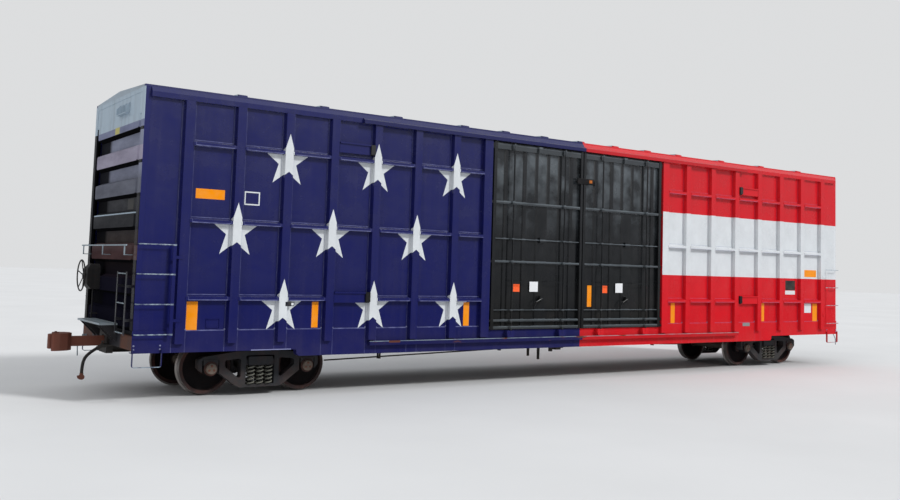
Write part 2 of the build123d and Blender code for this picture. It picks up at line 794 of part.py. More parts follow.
def crossbearers():
    """Crossbearers from the centre sill to the side sills: a tapered web between two flanges."""
    found = []
    root = centre_sill_half + joint_gap
    for place in bearer_places:
        for x in (-place, place):
            low, tip = bearer_bottom(root), bearer_bottom(sheet_plane)
            section = [(root, floor_bottom), (root, low), (sheet_plane, tip), (sheet_plane, floor_bottom)]
            web = along_x(section, x - bearer_steel / 2, x + bearer_steel / 2)
            for inner, outer, step in ((floor_bottom, floor_bottom, -bearer_steel), (low, tip, bearer_steel)):
                web += along_x([(root, inner), (sheet_plane, outer), (sheet_plane, outer + step),
                                (root, inner + step)], x - bearer_half, x + bearer_half)
            found.extend(piece - pipe_hole for piece in both_sides(web))
    return found


def end_sills():
    """End sills from the strikers to the corners."""
    found = []
    for end in (-1, 1):
        wing = block(end * (half_length - striker_back), end * (half_length - end_sill_set_back),
                     striker_half + joint_gap, sheet_plane, end_sill_bottom, floor_bottom)
        found.extend(piece - pipe_hole for piece in both_sides(wing))
    return found


# Doors

sill_rail = 70.0
head_rail = 150.0              # from the top of the door down to the foot of the hanger beam
panel_low = door_bottom + sill_rail
panel_high = door_top - head_rail
high_rail = rail + 3590.0
high_rail_height = 72.0
pan_share = 0.55
# share of a door's width from its left edge, lowest and highest z, face width
door_ribs = [
    (0.16, panel_low, panel_high, 78.0), (0.36, panel_low, panel_high, 78.0),
    (0.75, panel_low, panel_high, 78.0), (0.88, panel_low, panel_high, 78.0),
    (0.49, high_rail + high_rail_height, panel_high, 60.0),
    (0.62, high_rail + high_rail_height, panel_high, 60.0),
    (pan_share, panel_low, high_rail, 280.0),
]
door_rib_proud = 24.0
door_rib_slope = 16.0
# bottom, height, how far it stands out from the side sheets
door_rails = [
    (panel_high, 130, hanger_beam_proud), (high_rail, high_rail_height, 56.0), (rail + 2875, 34, 40.0),
    (rail + 2400, 58, 56.0), (rail + 1440, 30, 40.0), (rail + 1215, 60, 56.0), (door_bottom, sill_rail, 60.0),
]
keeper_rails = door_rails[1:6]
rail_bevel = 8.0
rail_end_gap = 2.0
pan_box_half = 70.0
pan_box_bottom = rail + 2840.0
pan_box_top = rail + 2945.0


def door(left, lock_edge):
    """Near-side plug door from its left edge: a ribbed sheet in a raised frame, crossed by rails.

    lock_edge is -1 where the doors meet at its left edge and 1 where they meet at its right edge."""
    right = left + door_width
    lining = -(sheet_plane - wall)
    sheet = -(sheet_plane - door_sheet_set_back)
    out = -(sheet_plane + door_frame_proud)
    pieces = [block(left, right, lining, sheet, door_bottom, door_top)]
    for share, low, high, width in door_ribs:
        centre = left + share * door_width
        top = sheet - door_rib_proud
        face, foot = width / 2, width / 2 + door_rib_slope
        pieces.append(along_z([(centre - foot, sheet), (centre - face, top), (centre + face, top),
                               (centre + foot, sheet)], low, high))
    meet = left if lock_edge < 0 else right
    edge = right if lock_edge < 0 else left
    pieces.append(block(meet, meet - lock_edge * door_frame, sheet, out, door_bottom, door_top))
    bar_edge = edge + lock_edge * door_edge_margin
    pieces.append(block(bar_edge, bar_edge + lock_edge * door_edge_bar, sheet, out, door_bottom, door_top))
    for bottom, height, proud in door_rails:
        face = -(sheet_plane + proud)
        section = [(sheet, bottom), (face, bottom + rail_bevel), (face, bottom + height - rail_bevel),
                   (sheet, bottom + height)]
        pieces.append(along_x(section, left + rail_end_gap, right - rail_end_gap))
    pan = left + pan_share * door_width
    pieces.append(block(pan - pan_box_half, pan + pan_box_half, sheet, out, pan_box_bottom, pan_box_top))
    return fuse(pieces)


hanger_width = 96.0
foot_bracket_half = 104.0
foot_bracket_bottom = rail + 915.0
foot_bracket_top = rail + 1046.0
foot_bracket_taper = 24.0
keeper_half = 30.0
keeper_margin = 4.0
rod_foot = rail + 960.0
rod_head_gap = 6.0
rod_lap = 8.0                  # how far brackets reach in to a rod
hanger_foot_drop = 120.0       # from the top of the door down
hanger_head_drop = 40.0
middle_hanger_proud = 100.0
middle_hanger_foot_drop = 140.0
middle_hanger_head_drop = 20.0
lock_height = rail + 1690.0
lock_radius = 62.0
lock_depth = 74.0
arm_height = rail + 2038.0
arm_half_height = 7.0
arm_half_depth = 6.0
handle_stand = 66.0
handle_radius = 13.0
# along the door and up from the lock's middle
handle_route = [(0, 0), (-150, -70), (-210, -180)]


def door_gear(left):
    """Locking rods of one near-side door, with keepers, hangers, feet, the gear box and its handle."""
    pieces = []
    centre = left + door_width / 2
    beam = -(sheet_plane + hanger_beam_proud + joint_gap)
    sill_face = -(sheet_plane + sill_plate + 2 * joint_gap)
    for offset in (-door_rod_offset, door_rod_offset):
        x = centre + offset
        rod_head = door_top - rod_head_gap
        parts = [bar([(x, -door_rod_y, rod_foot), (x, -door_rod_y, rod_head)], door_rod_radius)]
        parts.append(block(x - hanger_width / 2, x + hanger_width / 2, beam, -door_rod_y,
                           door_top - hanger_foot_drop, door_top - hanger_head_drop))
        foot_half = foot_bracket_half - foot_bracket_taper
        foot = [(x - foot_bracket_half, foot_bracket_top), (x - foot_half, foot_bracket_bottom),
                (x + foot_half, foot_bracket_bottom), (x + foot_bracket_half, foot_bracket_top)]
        parts.append(along_y(foot, -door_rod_y - rod_lap, sill_face))
        for bottom, height, proud in keeper_rails:
            parts.append(block(x - keeper_half, x + keeper_half, -(sheet_plane + proud + joint_gap),
                               -door_rod_y - rod_lap, bottom + keeper_margin,
                               bottom + height - keeper_margin))
        reach = centre + offset / 3
        parts.append(block(x, reach, -door_rod_y - arm_half_depth, -door_rod_y + arm_half_depth,
                           arm_height - arm_half_height, arm_height + arm_half_height))
        pieces.append(fuse(parts))
    pieces.append(block(centre - hanger_width / 2, centre + hanger_width / 2, beam,
                        -(sheet_plane + middle_hanger_proud), door_top - middle_hanger_foot_drop,
                        door_top - middle_hanger_head_drop))
    pan = left + pan_share * door_width
    pan_face = -(sheet_plane - door_sheet_set_back + door_rib_proud + joint_gap)
    hub = Plane(origin=(pan, pan_face, lock_height), z_dir=(0, -1, 0))
    box = hub * Cylinder(lock_radius, lock_depth, align=from_foot)
    handle = bar([(pan + along, pan_face - handle_stand, lock_height + up) for along, up in handle_route],
                 handle_radius)
    pieces.append(box + handle)
    return pieces


upper_track_half = 5460.0
lower_track_half = 5180.0
track_overhang = 37.0          # outer face of the upper track past the posts
track_lip = 14.0
upper_track_top = 92.0
upper_track_root = 20.0
upper_track_edge = 60.0
upper_track_hood = 8.0
lower_track_top = rail + 905.0
lower_track_depth = 78.0
lower_track_proud = 24.0
lower_track_lip = 16.0
lower_track_steel = 20.0


def door_tracks(side):
    """Upper and lower door tracks at one side, the upper one hooded and the lower one a ledge with a lip."""
    outer = side * (post_plane + track_overhang)
    chord_face = side * (sheet_plane + chord_proud + joint_gap)
    inner = outer - side * track_lip
    upper = along_x([
        (chord_face, chord_bottom + upper_track_root), (chord_face, chord_bottom + upper_track_top),
        (outer, chord_bottom + upper_track_edge), (outer, chord_bottom - upper_track_hood),
        (inner, chord_bottom - upper_track_hood), (inner, chord_bottom + upper_track_root),
    ], -upper_track_half, upper_track_half)
    sill_face = side * (sheet_plane + sill_plate + 2 * joint_gap)
    edge = side * (post_plane + lower_track_proud)
    lower = along_x([
        (sill_face, lower_track_top - lower_track_depth), (edge, lower_track_top - lower_track_depth),
        (edge, lower_track_top), (edge - side * lower_track_lip, lower_track_top),
        (edge - side * lower_track_lip, lower_track_top - lower_track_steel),
        (sill_face, lower_track_top - lower_track_steel),
    ], -lower_track_half, lower_track_half)
    return [upper, lower]


stop_height = 190.0
stop_bottoms = [rail + 1595.0, rail + 4285.0]
stop_proud = 22.0
stop_lip = 26.0
pad_length = 90.0
pad_proud = 34.0
pad_margin = 12.0


def door_stops():
    """Door stops: a lipped bracket with a rubbing pad between two posts, two on each half of each side."""
    found = []
    x0 = post_first + post_pitch * (stop_bay - 1) + post_base / 2 + joint_gap
    x1 = post_first + post_pitch * stop_bay - post_base / 2 - joint_gap
    root = -sheet_plane - post_steel - 2 * joint_gap
    face = -post_plane - stop_proud
    for bottom in stop_bottoms:
        top = bottom + stop_height
        section = [(root, bottom), (face + stop_lip, bottom), (face + stop_lip, top - stop_lip),
                   (face, top - stop_lip), (face, top), (root, top)]
        stop = along_x(section, -x1, -x0)
        stop += block(-x0 - pad_length, -x0, face + stop_lip, -post_plane - pad_proud, bottom + pad_margin,
                      top - pad_margin)
        found.extend(four_corners(stop))
    return found


# Ladders, steps and end fittings

rung_radius = 10.0
ladder_rungs = [rail + 1082.0, rail + 1558.0, rail + 2034.0, rail + 2507.0]
ladder_inner = half_length - 575.0
ladder_outer = half_length - 25.0
ladder_stand = post_depth + 16.0
stile_half = 28.0
stile_half_depth = 6.0
stile_foot = 40.0              # below the lowest rung
stile_head = 20.0              # above the highest rung
strap_lap = 70.0
strap_heights = [rail + 1300.0, rail + 2310.0]
strap_half = 24.0
strap_steel = 12.0
rung_toe = 22.0                # from the bent end of a rung to its foot on the corner


def side_ladder():
    """Side ladder at the B end of the near side: four rungs from the corner post to a stile."""
    y = -sheet_plane - ladder_stand
    pieces = [block(-ladder_inner - stile_half, -ladder_inner + stile_half, y - stile_half_depth,
                    y + stile_half_depth, ladder_rungs[0] - stile_foot, ladder_rungs[-1] + stile_head)]
    post_edge = -post_first - (post_count - 1) * post_pitch - post_face / 2
    for height in strap_heights:
        pieces.append(block(-ladder_inner, post_edge + strap_lap, -post_plane - joint_gap,
                            -post_plane - strap_steel, height - strap_half, height + strap_half))
    for height in ladder_rungs:
        seat = -sheet_plane - joint_gap
        if height < sill_top:
            seat -= sill_plate + joint_gap
        pieces.append(bar([(-ladder_outer, seat, height), (-ladder_outer, y + rung_toe, height),
                           (-ladder_outer + rung_toe, y, height), (-ladder_inner, y, height)], rung_radius))
    return fuse(pieces)


end_ladder_stand = 95.0
end_ladder_sides = [-880.0, -1370.0]
end_ladder_rungs = [rail + 1090.0, rail + 1560.0, rail + 2030.0]
end_ladder_bottom = rail + 1060.0
end_ladder_top = rail + 2060.0
rib_seats = [rail + 1296.0, rail + 1830.0]
rib_seat_half = 20.0
end_stile_half = 26.0


def end_ladder():
    """End ladder beside the near corner: two stiles and three rungs standing off the end."""
    x = -half_length - end_ladder_stand
    pieces = []
    for y in end_ladder_sides:
        left, right = y - end_stile_half, y + end_stile_half
        pieces.append(block(x - stile_half_depth, x + stile_half_depth, left, right, end_ladder_bottom,
                            end_ladder_top))
        for height in rib_seats:
            pieces.append(block(x, -half_length - joint_gap, left, right, height - rib_seat_half,
                                height + rib_seat_half))
    for height in end_ladder_rungs:
        pieces.append(bar([(x, end_ladder_sides[1], height), (x, end_ladder_sides[0], height)], rung_radius))
    return fuse(pieces)


handrail_stand = 130.0
handrail_height = rail + 2482.0
handrail_half = 1400.0
handrail_legs = [-1300.0, 0.0, 1300.0]
handrail_drop = 160.0
handrail_radius = 12.0
leg_half = 20.0
leg_half_steel = 6.0
leg_head = 12.0


def end_handrail():
    """Handrail right across the end, on legs from the end wall."""
    x = -half_length - handrail_stand
    ends = [(x, -handrail_half, handrail_height), (x, handrail_half, handrail_height)]
    pieces = [bar(ends, handrail_radius)]
    foot = handrail_height - handrail_drop
    for y in handrail_legs:
        left, right = y - leg_half, y + leg_half
        pieces.append(block(x - leg_half_steel, x + leg_half_steel, left, right, foot,
                            handrail_height + leg_head))
        pieces.append(block(x, -half_length - joint_gap, left, right, foot, foot + strap_steel))
    return fuse(pieces)


platform_half = 720.0
platform_depth = 288.0
platform_top = rail + 1210.0
platform_thickness = 30.0
platform_slots = 14
platform_gap = 12.0            # between the body end and the deck
slot_margin = 36.0
slot_share = 0.4
support_insets = [60.0, 330.0]
support_nose = 20.0
support_half_steel = 6.0
bracket_foot = rail + 900.0


def end_platform():
    """Crossover platform with slotted tread and brackets to the end sill."""
    inner = -half_length - platform_gap
    outer = inner - platform_depth
    under = platform_top - platform_thickness
    deck = block(outer, inner, -platform_half, platform_half, under, platform_top)
    pitch = 2 * platform_half / platform_slots
    slots = Pos(inner - platform_depth / 2, 0, platform_top) * GridLocations(
        platform_depth / 2, pitch, 2, platform_slots)
    deck -= slots * Box(platform_depth / 2 - slot_margin, pitch * slot_share, 3 * platform_thickness)
    pieces = [deck]
    wall_face = -half_length - joint_gap
    for inset in support_insets:
        for y in (inset - platform_half, platform_half - inset):
            support = [(wall_face, bracket_foot), (wall_face, under), (outer + support_nose, under)]
            pieces.append(along_y(support, y - support_half_steel, y + support_half_steel))
    return fuse(pieces)


step_top = rail + 860.0
step_bottom = rail + 565.0
step_outer = half_length - 5.0
step_inner = half_length - 472.0
step_steel = 10.0
step_width = 44.0
step_round = 40.0
step_overrun = 1.0


def sill_step():
    """Stirrup step bolted to the side sill near the corner, bent from one flat bar."""
    y = -sheet_plane - sill_plate - 2 * joint_gap
    outside = rounded([(-step_outer, step_top), (-step_outer, step_bottom), (-step_inner, step_bottom),
                       (-step_inner, step_top)], [1, 2], step_round)
    left, right = -step_outer + step_steel, -step_inner - step_steel
    high, low = step_top + step_overrun, step_bottom + step_steel
    inside = rounded([(left, high), (left, low), (right, low), (right, high)], [1, 2],
                     step_round - step_steel)
    return along_y(outside - inside, y - step_width, y)


# Hand brake

brake_y = 720.0
brake_z = rail + 1950.0
brake_wheel_radius = 279.0
brake_rim = 12.0
brake_dish = 42.0
brake_stand = 285.0            # from the body end out to the plane of the wheel's rim
brake_spokes = 5
housing_depth = 215.0
housing_half = 150.0
hand_hub_radius = 38.0
hand_shaft_radius = 20.0
hand_hub_half = 16.0
spoke_radius = 9.0
first_spoke = 90.0             # degrees from the car's far side up
housing_foot = 230.0
housing_head = 210.0
housing_shoulder = 150.0       # from the body end out to where the housing tapers
housing_nose_head = 120.0
housing_nose_foot = 150.0
housing_round = 120.0
housing_overrun = 1.0
pull_stand = 90.0
pull_aside = 60.0
pull_radius = 13.0
pull_gap = 5.0
pull_top = 200.0
pull_guide_reach = 112.0
pull_guide_half = 22.0
pull_guide_half_height = 12.0


def brake_wheel():
    """Hand brake wheel: a rim on spokes that dish in to the hub on its shaft."""
    x = -half_length - brake_stand
    hub_x = x + brake_dish
    seat = -half_length - housing_depth - joint_gap
    plane = Plane(origin=(x, brake_y, brake_z), x_dir=(1, 0, 0), z_dir=(0, 1, 0))
    rim = revolve(plane * Pos(0, brake_wheel_radius - brake_rim) * RegularPolygon(brake_rim, bar_sides),
                  axis=Axis((x, brake_y, brake_z), (1, 0, 0)), revolution_arc=360)
    front, back = hub_x - x - hand_hub_half, hub_x - x + hand_hub_half
    hub = turned_shape([(front, 0), (front, hand_hub_radius), (back, hand_hub_radius),
                        (back, hand_shaft_radius), (seat - x, hand_shaft_radius), (seat - x, 0)], plane)
    pieces = [rim, hub]
    for k in range(brake_spokes):
        angle = math.radians(360 / brake_spokes * k + first_spoke)
        ends = [(hub_x, hand_shaft_radius), (x, brake_wheel_radius - brake_rim)]
        pieces.append(bar([(along, brake_y + radius * math.cos(angle), brake_z + radius * math.sin(angle))
                           for along, radius in ends], spoke_radius))
    return fuse(pieces)


def brake_housing():
    """Hand brake gear housing on the end, round at its top, with its vertical pull rod and a guide."""
    x = -half_length
    foot, head = brake_z - housing_foot, brake_z + housing_head
    side_view = [(x - joint_gap, foot), (x - joint_gap, head), (x - housing_shoulder, head),
                 (x - housing_depth, brake_z + housing_nose_head),
                 (x - housing_depth, brake_z - housing_nose_foot), (x - housing_shoulder, foot)]
    left, right = brake_y - housing_half, brake_y + housing_half
    body = along_y(side_view, left, right)
    below, above = foot - housing_overrun, head + housing_overrun
    front = rounded([(left, below), (left, above), (right, above), (right, below)], [1, 2], housing_round)
    body = body & along_x(front, x - housing_depth - housing_overrun, x)
    rod_x, rod_y = x - pull_stand, brake_y - pull_aside
    pull = bar([(rod_x, rod_y, platform_top + pull_gap), (rod_x, rod_y, brake_z - pull_top)], pull_radius)
    guide = block(x - pull_guide_reach, x - joint_gap, rod_y - pull_guide_half, rod_y + pull_guide_half,
                  rib_seats[0] - pull_guide_half_height, rib_seats[0] + pull_guide_half_height)
    return body + pull + guide


# Couplers

head_half_height = 140.0
knuckle_half_height = 116.0
knuckle_pin_radius = 21.0
pin_out, pin_aside = 765.0, 150.0
shank_inner = 400.0            # from the end of the body in to the butt of the shank
shank_front = 640.0
head_round = 24.0
knuckle_round = 20.0
mouth_gap = 2.0
pin_head = 14.0
pin_hole_margin = 20.0
# out from the body end, aside towards the knuckle
head_outline = [
    (560, -66), (640, -168), (770, -212), (880, -216), (896, -180), (820, -150), (760, -96), (742, -30),
    (742, 60), (800, 96), (830, 150), (800, 200), (720, 216), (640, 186), (560, 90),
]
head_round_corners = [1, 3, 6, 10, 12, 13]
mouth_outline = [(700, 50), (700, 260), (950, 260), (950, 50)]
knuckle_outline = [
    (704, 54), (704, 190), (760, 214), (830, 190), (880, 130), (coupler_reach, 80), (coupler_reach, -34),
    (866, -52), (846, -10), (812, 46), (760, 54),
]
knuckle_round_corners = [2, 3, 4, 6, 7]


def plan_of(points):
    """A B-end plan outline from points given as the distance out from the body end, and aside to +Y."""
    return [(-half_length - out, aside) for out, aside in points]


def coupler():
    """Coupler at the B end: a shank and a head with guard arm and pin lugs, and the knuckle on its pin."""
    low, high = coupler_height - head_half_height, coupler_height + head_half_height
    shank = block(-half_length + shank_inner, -half_length - shank_front, -shank_half, shank_half,
                  coupler_height - shank_half_height, coupler_height + shank_half_height)
    head = along_z(rounded(plan_of(head_outline), head_round_corners, head_round), low, high)
    knuckle_low, knuckle_high = coupler_height - knuckle_half_height, coupler_height + knuckle_half_height
    head -= along_z(plan_of(mouth_outline), knuckle_low - mouth_gap, knuckle_high + mouth_gap)
    x = -half_length - pin_out
    pin = rod((x, pin_aside, low - pin_head), (x, pin_aside, high + pin_head), knuckle_pin_radius)
    clear = rod((x, pin_aside, low - pin_hole_margin), (x, pin_aside, high + pin_hole_margin),
                knuckle_pin_radius + joint_gap)
    knuckle = along_z(rounded(plan_of(knuckle_outline), knuckle_round_corners, knuckle_round), knuckle_low,
                      knuckle_high)
    return (shank + head - clear).solids() + (knuckle + pin).solids()


lever_stand = 60.0
lever_z = rail + 800.0
lever_radius = 11.0
lever_hangers = [620.0, 1280.0]
lever_hanger_half = 14.0
lever_hanger_lap = 2.0
lever_hanger_half_steel = 7.0
lever_hanger_foot = 16.0
lever_hanger_head = 90.0
# out from the lever's line, aside, up from the lever's height
lever_route = [(560, 240, 60), (360, 300, 60), (0, 420, 0), (0, 1380, 0), (50, 1420, -150), (40, 1430, -310)]


def uncoupling_lever():
    """Uncoupling lever on the knuckle's side: a bent bar from the coupler head to a handle at the corner."""
    x = -half_length - lever_stand
    rod_bar = bar([(x - out, aside, lever_z + up) for out, aside, up in lever_route], lever_radius)
    for y in lever_hangers:
        rod_bar += block(x - lever_hanger_half, -half_length + lever_hanger_lap - joint_gap,
                         y - lever_hanger_half_steel, y + lever_hanger_half_steel,
                         lever_z - lever_hanger_foot, lever_z + lever_hanger_head)
    return rod_bar


# Air brake

hose_radius = 27.0
hose_skin = 1.0                # the tube is this much thinner than the hose
cock_reach = half_length + 120.0
cock_nozzle = (82.27, -47.5)   # out and up from the cock's body to its mouth
cock_back = 70.0
cock_front = 24.0
cock_radius = 38.0
nozzle_radius = 32.0
stem_radius = 16.0
stem_top = 74.0
cock_handle_low = 66.0
cock_handle_high = 78.0
cock_handle_back = 16.0
cock_handle_reach = 112.0
cock_handle_root_half = 14.0
cock_handle_tip_half = 8.0
hose_bend_share = 0.45         # of the shorter run beside a bend
# out and up from the cock's mouth, along the hose to its coupling
hose_route = [(0.0, 0.0), (138.56, -80.0), (221.06, -222.89), (221.06, -397.89)]


def hose_points(end):
    """The hose's route in the car's frame, starting at the mouth of the angle cock."""
    x0, z0 = cock_reach + cock_nozzle[0], pipe_z + cock_nozzle[1]
    return [(end * (x0 + out), end * pipe_y, z0 + up) for out, up in hose_route]


def train_pipe():
    """Brake pipe through the underframe with an angle cock at each end."""
    pieces = [pipe_runs(cock_reach, pipe_radius)]
    for end in (-1, 1):
        x, y = end * cock_reach, end * pipe_y
        body = (x, y, pipe_z)
        pieces.append(rod((x - end * cock_back, y, pipe_z), (x + end * cock_front, y, pipe_z), cock_radius))
        pieces.append(rod(body, hose_points(end)[0], nozzle_radius))
        pieces.append(rod(body, (x, y, pipe_z + stem_top), stem_radius))
        root, tip = y - end * cock_handle_back, y + end * cock_handle_reach
        pieces.append(along_z([(x - cock_handle_root_half, root), (x + cock_handle_root_half, root),
                               (x + cock_handle_tip_half, tip), (x - cock_handle_tip_half, tip)],
                              pipe_z + cock_handle_low, pipe_z + cock_handle_high))
    return fuse(pieces)


def hose_radii(points):
    """Arc radius at each corner: a share of the shorter run over the tangent of half the turn."""
    radii = []
    for before, here, after in zip(points, points[1:], points[2:]):
        first = Vector(*here) - Vector(*before)
        second = Vector(*after) - Vector(*here)
        turn = math.radians(first.get_angle(second))
        radii.append(hose_bend_share * min(first.length, second.length) / math.tan(turn / 2))
    return radii


def air_hose(end):
    """Air hose hanging from the angle cock to its coupling."""
    points = hose_points(end)
    radii = hose_radii(points)
    print("air hose radii", [round(radius) for radius in radii])
    path = FilletPolyline(*points, radius=radii)
    return sweep(Plane(origin=path @ 0, z_dir=path % 0) * Circle(hose_radius - hose_skin), path=path)


hand_neck = 46.0
hand_radius = 44.0
hand_drop = 62.0
hand_width = 58.0
hand_neck_wall = 3.0
guard_half = 9.0
# outward from the neck, up from the middle of the head
guard_outline = [(-34, -30), (20, -44), (60, -20), (72, 22), (52, 26), (34, 0)]


def glad_hand(end):
    """Hose coupling: a neck into the hose, a round gasket head turned to the middle and a hooked guard."""
    x, y, z = hose_points(end)[-1]
    top = z - joint_gap
    middle = z - hand_drop
    neck = rod((x, y, top), (x, y, top - hand_neck), hose_radius + hand_neck_wall)
    head = rod((x, y - hand_width / 2, middle), (x, y + hand_width / 2, middle), hand_radius)
    guard = along_y([(x + end * out, middle + up) for out, up in guard_outline], y - guard_half,
                    y + guard_half)
    return neck + head + guard


cylinder_x, cylinder_y, cylinder_z = -900.0, 620.0, rail + 760.0
cylinder_feet = [90.0, 260.0]
cylinder_foot_half = 130.0
cylinder_foot_head_half = 90.0
cylinder_foot_half_steel = 8.0
# distance along the cylinder, radius
cylinder_profile = [
    (0, 0), (0, 90), (40, 140), (330, 140), (330, 165), (350, 165), (350, 140), (440, 90), (440, 34),
    (560, 34), (560, 0),
]
reservoir_x, reservoir_y, reservoir_z = 180.0, 640.0, rail + 730.0
reservoir_feet = [180.0, 720.0]
reservoir_foot_half = 170.0
reservoir_foot_head_half = 120.0
reservoir_foot_half_steel = 10.0
# distance along the reservoir, radius
reservoir_profile = [
    (0, 0), (0, 90), (50, 165), (110, 190), (430, 190), (430, 222), (470, 222), (470, 190), (790, 190),
    (850, 165), (900, 90), (900, 0),
]


def hanging_foot(x, y, z, head_half, foot_half, half_steel):
    """Bracket plate that hangs a vessel's middle from the floor."""
    top = floor_bottom - joint_gap
    return along_x([(y - head_half, top), (y - foot_half, z), (y + foot_half, z), (y + head_half, top)],
                   x - half_steel, x + half_steel)


def brake_cylinder():
    """Brake cylinder with a domed head, a flange, its push rod and mounting feet."""
    plane = Plane(origin=(cylinder_x, cylinder_y, cylinder_z), x_dir=(1, 0, 0), z_dir=(0, 1, 0))
    body = turned_shape(cylinder_profile, plane)
    for along in cylinder_feet:
        body += hanging_foot(cylinder_x + along, cylinder_y, cylinder_z, cylinder_foot_head_half,
                             cylinder_foot_half, cylinder_foot_half_steel)
    return body


def air_reservoir():
    """Two-part air reservoir with domed ends and a middle flange, hung from the floor by two brackets."""
    plane = Plane(origin=(reservoir_x, reservoir_y, reservoir_z), x_dir=(1, 0, 0), z_dir=(0, 1, 0))
    body = turned_shape(reservoir_profile, plane)
    for along in reservoir_feet:
        body += hanging_foot(reservoir_x + along, reservoir_y, reservoir_z, reservoir_foot_head_half,
                             reservoir_foot_half, reservoir_foot_half_steel)
    return body


valve_x, valve_y, valve_z = -70.0, -830.0, rail + 700.0
pipe_bracket_half = 70.0
pipe_bracket_half_width = 110.0
pipe_bracket_drop = 140.0
portion_reach = 190.0
portion_half_height = 110.0
portion_half_width = 80.0
portion_round = 50.0
bulb_out = 130.0
bulb_drop = 180.0
bulb_radius = 46.0


def control_valve():
    """Control valve: a pipe bracket hung from the floor with a round-nosed valve portion on each face."""
    bracket = block(valve_x - pipe_bracket_half, valve_x + pipe_bracket_half,
                    valve_y - pipe_bracket_half_width, valve_y + pipe_bracket_half_width,
                    valve_z - pipe_bracket_drop, floor_bottom - joint_gap)
    left, right = valve_x - portion_reach, valve_x + portion_reach
    low, high = valve_z - portion_half_height, valve_z + portion_half_height
    portions = rounded([(left, low), (right, low), (right, high), (left, high)], [0, 1, 2, 3], portion_round)
    body = bracket + along_y(portions, valve_y - portion_half_width, valve_y + portion_half_width)
    bulb_x = valve_x - bulb_out
    return body + rod((bulb_x, valve_y, valve_z - bulb_drop), (bulb_x, valve_y, valve_z), bulb_radius)


rod_run = 5450.0
lever_x = 150.0
rod_y = 360.0
rod_high = rail + 590.0
rod_low = rail + 450.0
rod_radius = 14.0
lever_foot = rail + 300.0
lever_foot_half = 30.0
lever_head_half = 45.0
lever_half_steel = 11.0
guide_half = 20.0
guide_steel = 8.0
guide_reach = 44.0             # each way from the rod
guide_strap_drop = 30.0
guide_foot_drop = 36.0
guide_lap = 1.0


def brake_rods():
    """Brake rods from the hanging levers towards each truck, with guide loops under the crossbearers."""
    pieces = []
    for end in (-1, 1):
        y = end * rod_y
        x = end * lever_x
        top = floor_bottom - joint_gap
        parts = [bar([(x, y, rod_high), (end * rod_run, y, rod_low)], rod_radius)]
        parts.append(along_y([(x - lever_head_half, top), (x - lever_foot_half, lever_foot),
                              (x + lever_foot_half, lever_foot), (x + lever_head_half, top)],
                             y - lever_half_steel, y + lever_half_steel))
        for place in (bearer_places[0], bearer_places[2]):
            height = rod_high + (rod_low - rod_high) * (place - lever_x) / (rod_run - lever_x)
            x0, x1 = end * place - guide_half, end * place + guide_half
            for inner in (rod_y - guide_reach, rod_y + guide_reach - guide_steel):
                parts.append(block(x0, x1, end * inner, end * (inner + guide_steel),
                                   height - guide_strap_drop, bearer_bottom(inner) - joint_gap))
            parts.append(block(x0, x1, y - guide_reach, y + guide_reach, height - guide_foot_drop,
                               height - rod_radius + guide_lap))
        pieces.append(fuse(parts))
    return pieces


os.makedirs("parts", exist_ok=True)

write("centre_sill", centre_sill())
write("body_bolsters", body_bolsters())
write("crossbearers", crossbearers())
write("end_sills", end_sills())
write("floor", car_floor())
write("side_sills", side_sill(-1) + side_sill(1))
write("side_sheets", side_sheets(-1) + side_sheets(1))
write("side_posts", side_posts(-1) + side_posts(1))
write("top_chords", [top_chord(side) for side in (-1, 1)])
write("door_tracks", door_tracks(-1) + door_tracks(1))
near_gear = door_gear(door_left["b"]) + door_gear(door_left["a"])
write("door_gear", near_gear + [Rot(0, 0, 180) * piece for piece in near_gear])
near_b, near_a = door(door_left["b"], 1), door(door_left["a"], -1)
write("door_near_b", near_b)
write("door_near_a", near_a)
write("door_far_a", Rot(0, 0, 180) * near_b)
write("door_far_b", Rot(0, 0, 180) * near_a)
write("corner_posts", four_corners(corner_post()))
write("end_walls", [car_end(-1), car_end(1)])
write("roof", roof())
write("door_stops", door_stops())
write("side_ladders", four_corners(side_ladder()))
write("end_ladders", turned(end_ladder()))
write("end_handrails", both_ends(end_handrail()))
write("end_platforms", both_ends(end_platform()))
write("sill_steps", four_corners(sill_step()))
write("brake_wheel", brake_wheel())
write("brake_housing", brake_housing())
write("couplers", coupler() + [Rot(0, 0, 180) * piece for piece in coupler()])
write("uncoupling_levers", turned(uncoupling_lever()))
write("train_pipe", train_pipe())
for label, end in (("b", -1), ("a", 1)):
    write("air_hose_" + label, air_hose(end))
    write("glad_hand_" + label, glad_hand(end))
write("brake_cylinder", brake_cylinder())
write("air_reservoir", air_reservoir())
write("control_valve", control_valve())
write("brake_rods", brake_rods())
for label, end in (("b", -1), ("a", 1)):
    x = end * truck_centres / 2
    write("truck_bolster_" + label, truck_bolster(x))
    write("truck_frames_" + label, [side_frame(x, -1), side_frame(x, 1)] + friction_wedges(x))
    write("truck_springs_" + label, truck_springs(x))
    write("brake_beams_" + label, brake_beams(x))
    write("wheelset_" + label + "_outer", wheelset(x + end * wheelbase / 2))
    write("wheelset_" + label + "_inner", wheelset(x - end * wheelbase / 2))
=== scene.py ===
import json
import math

import bpy
import numpy as np
from mathutils import Matrix, Vector


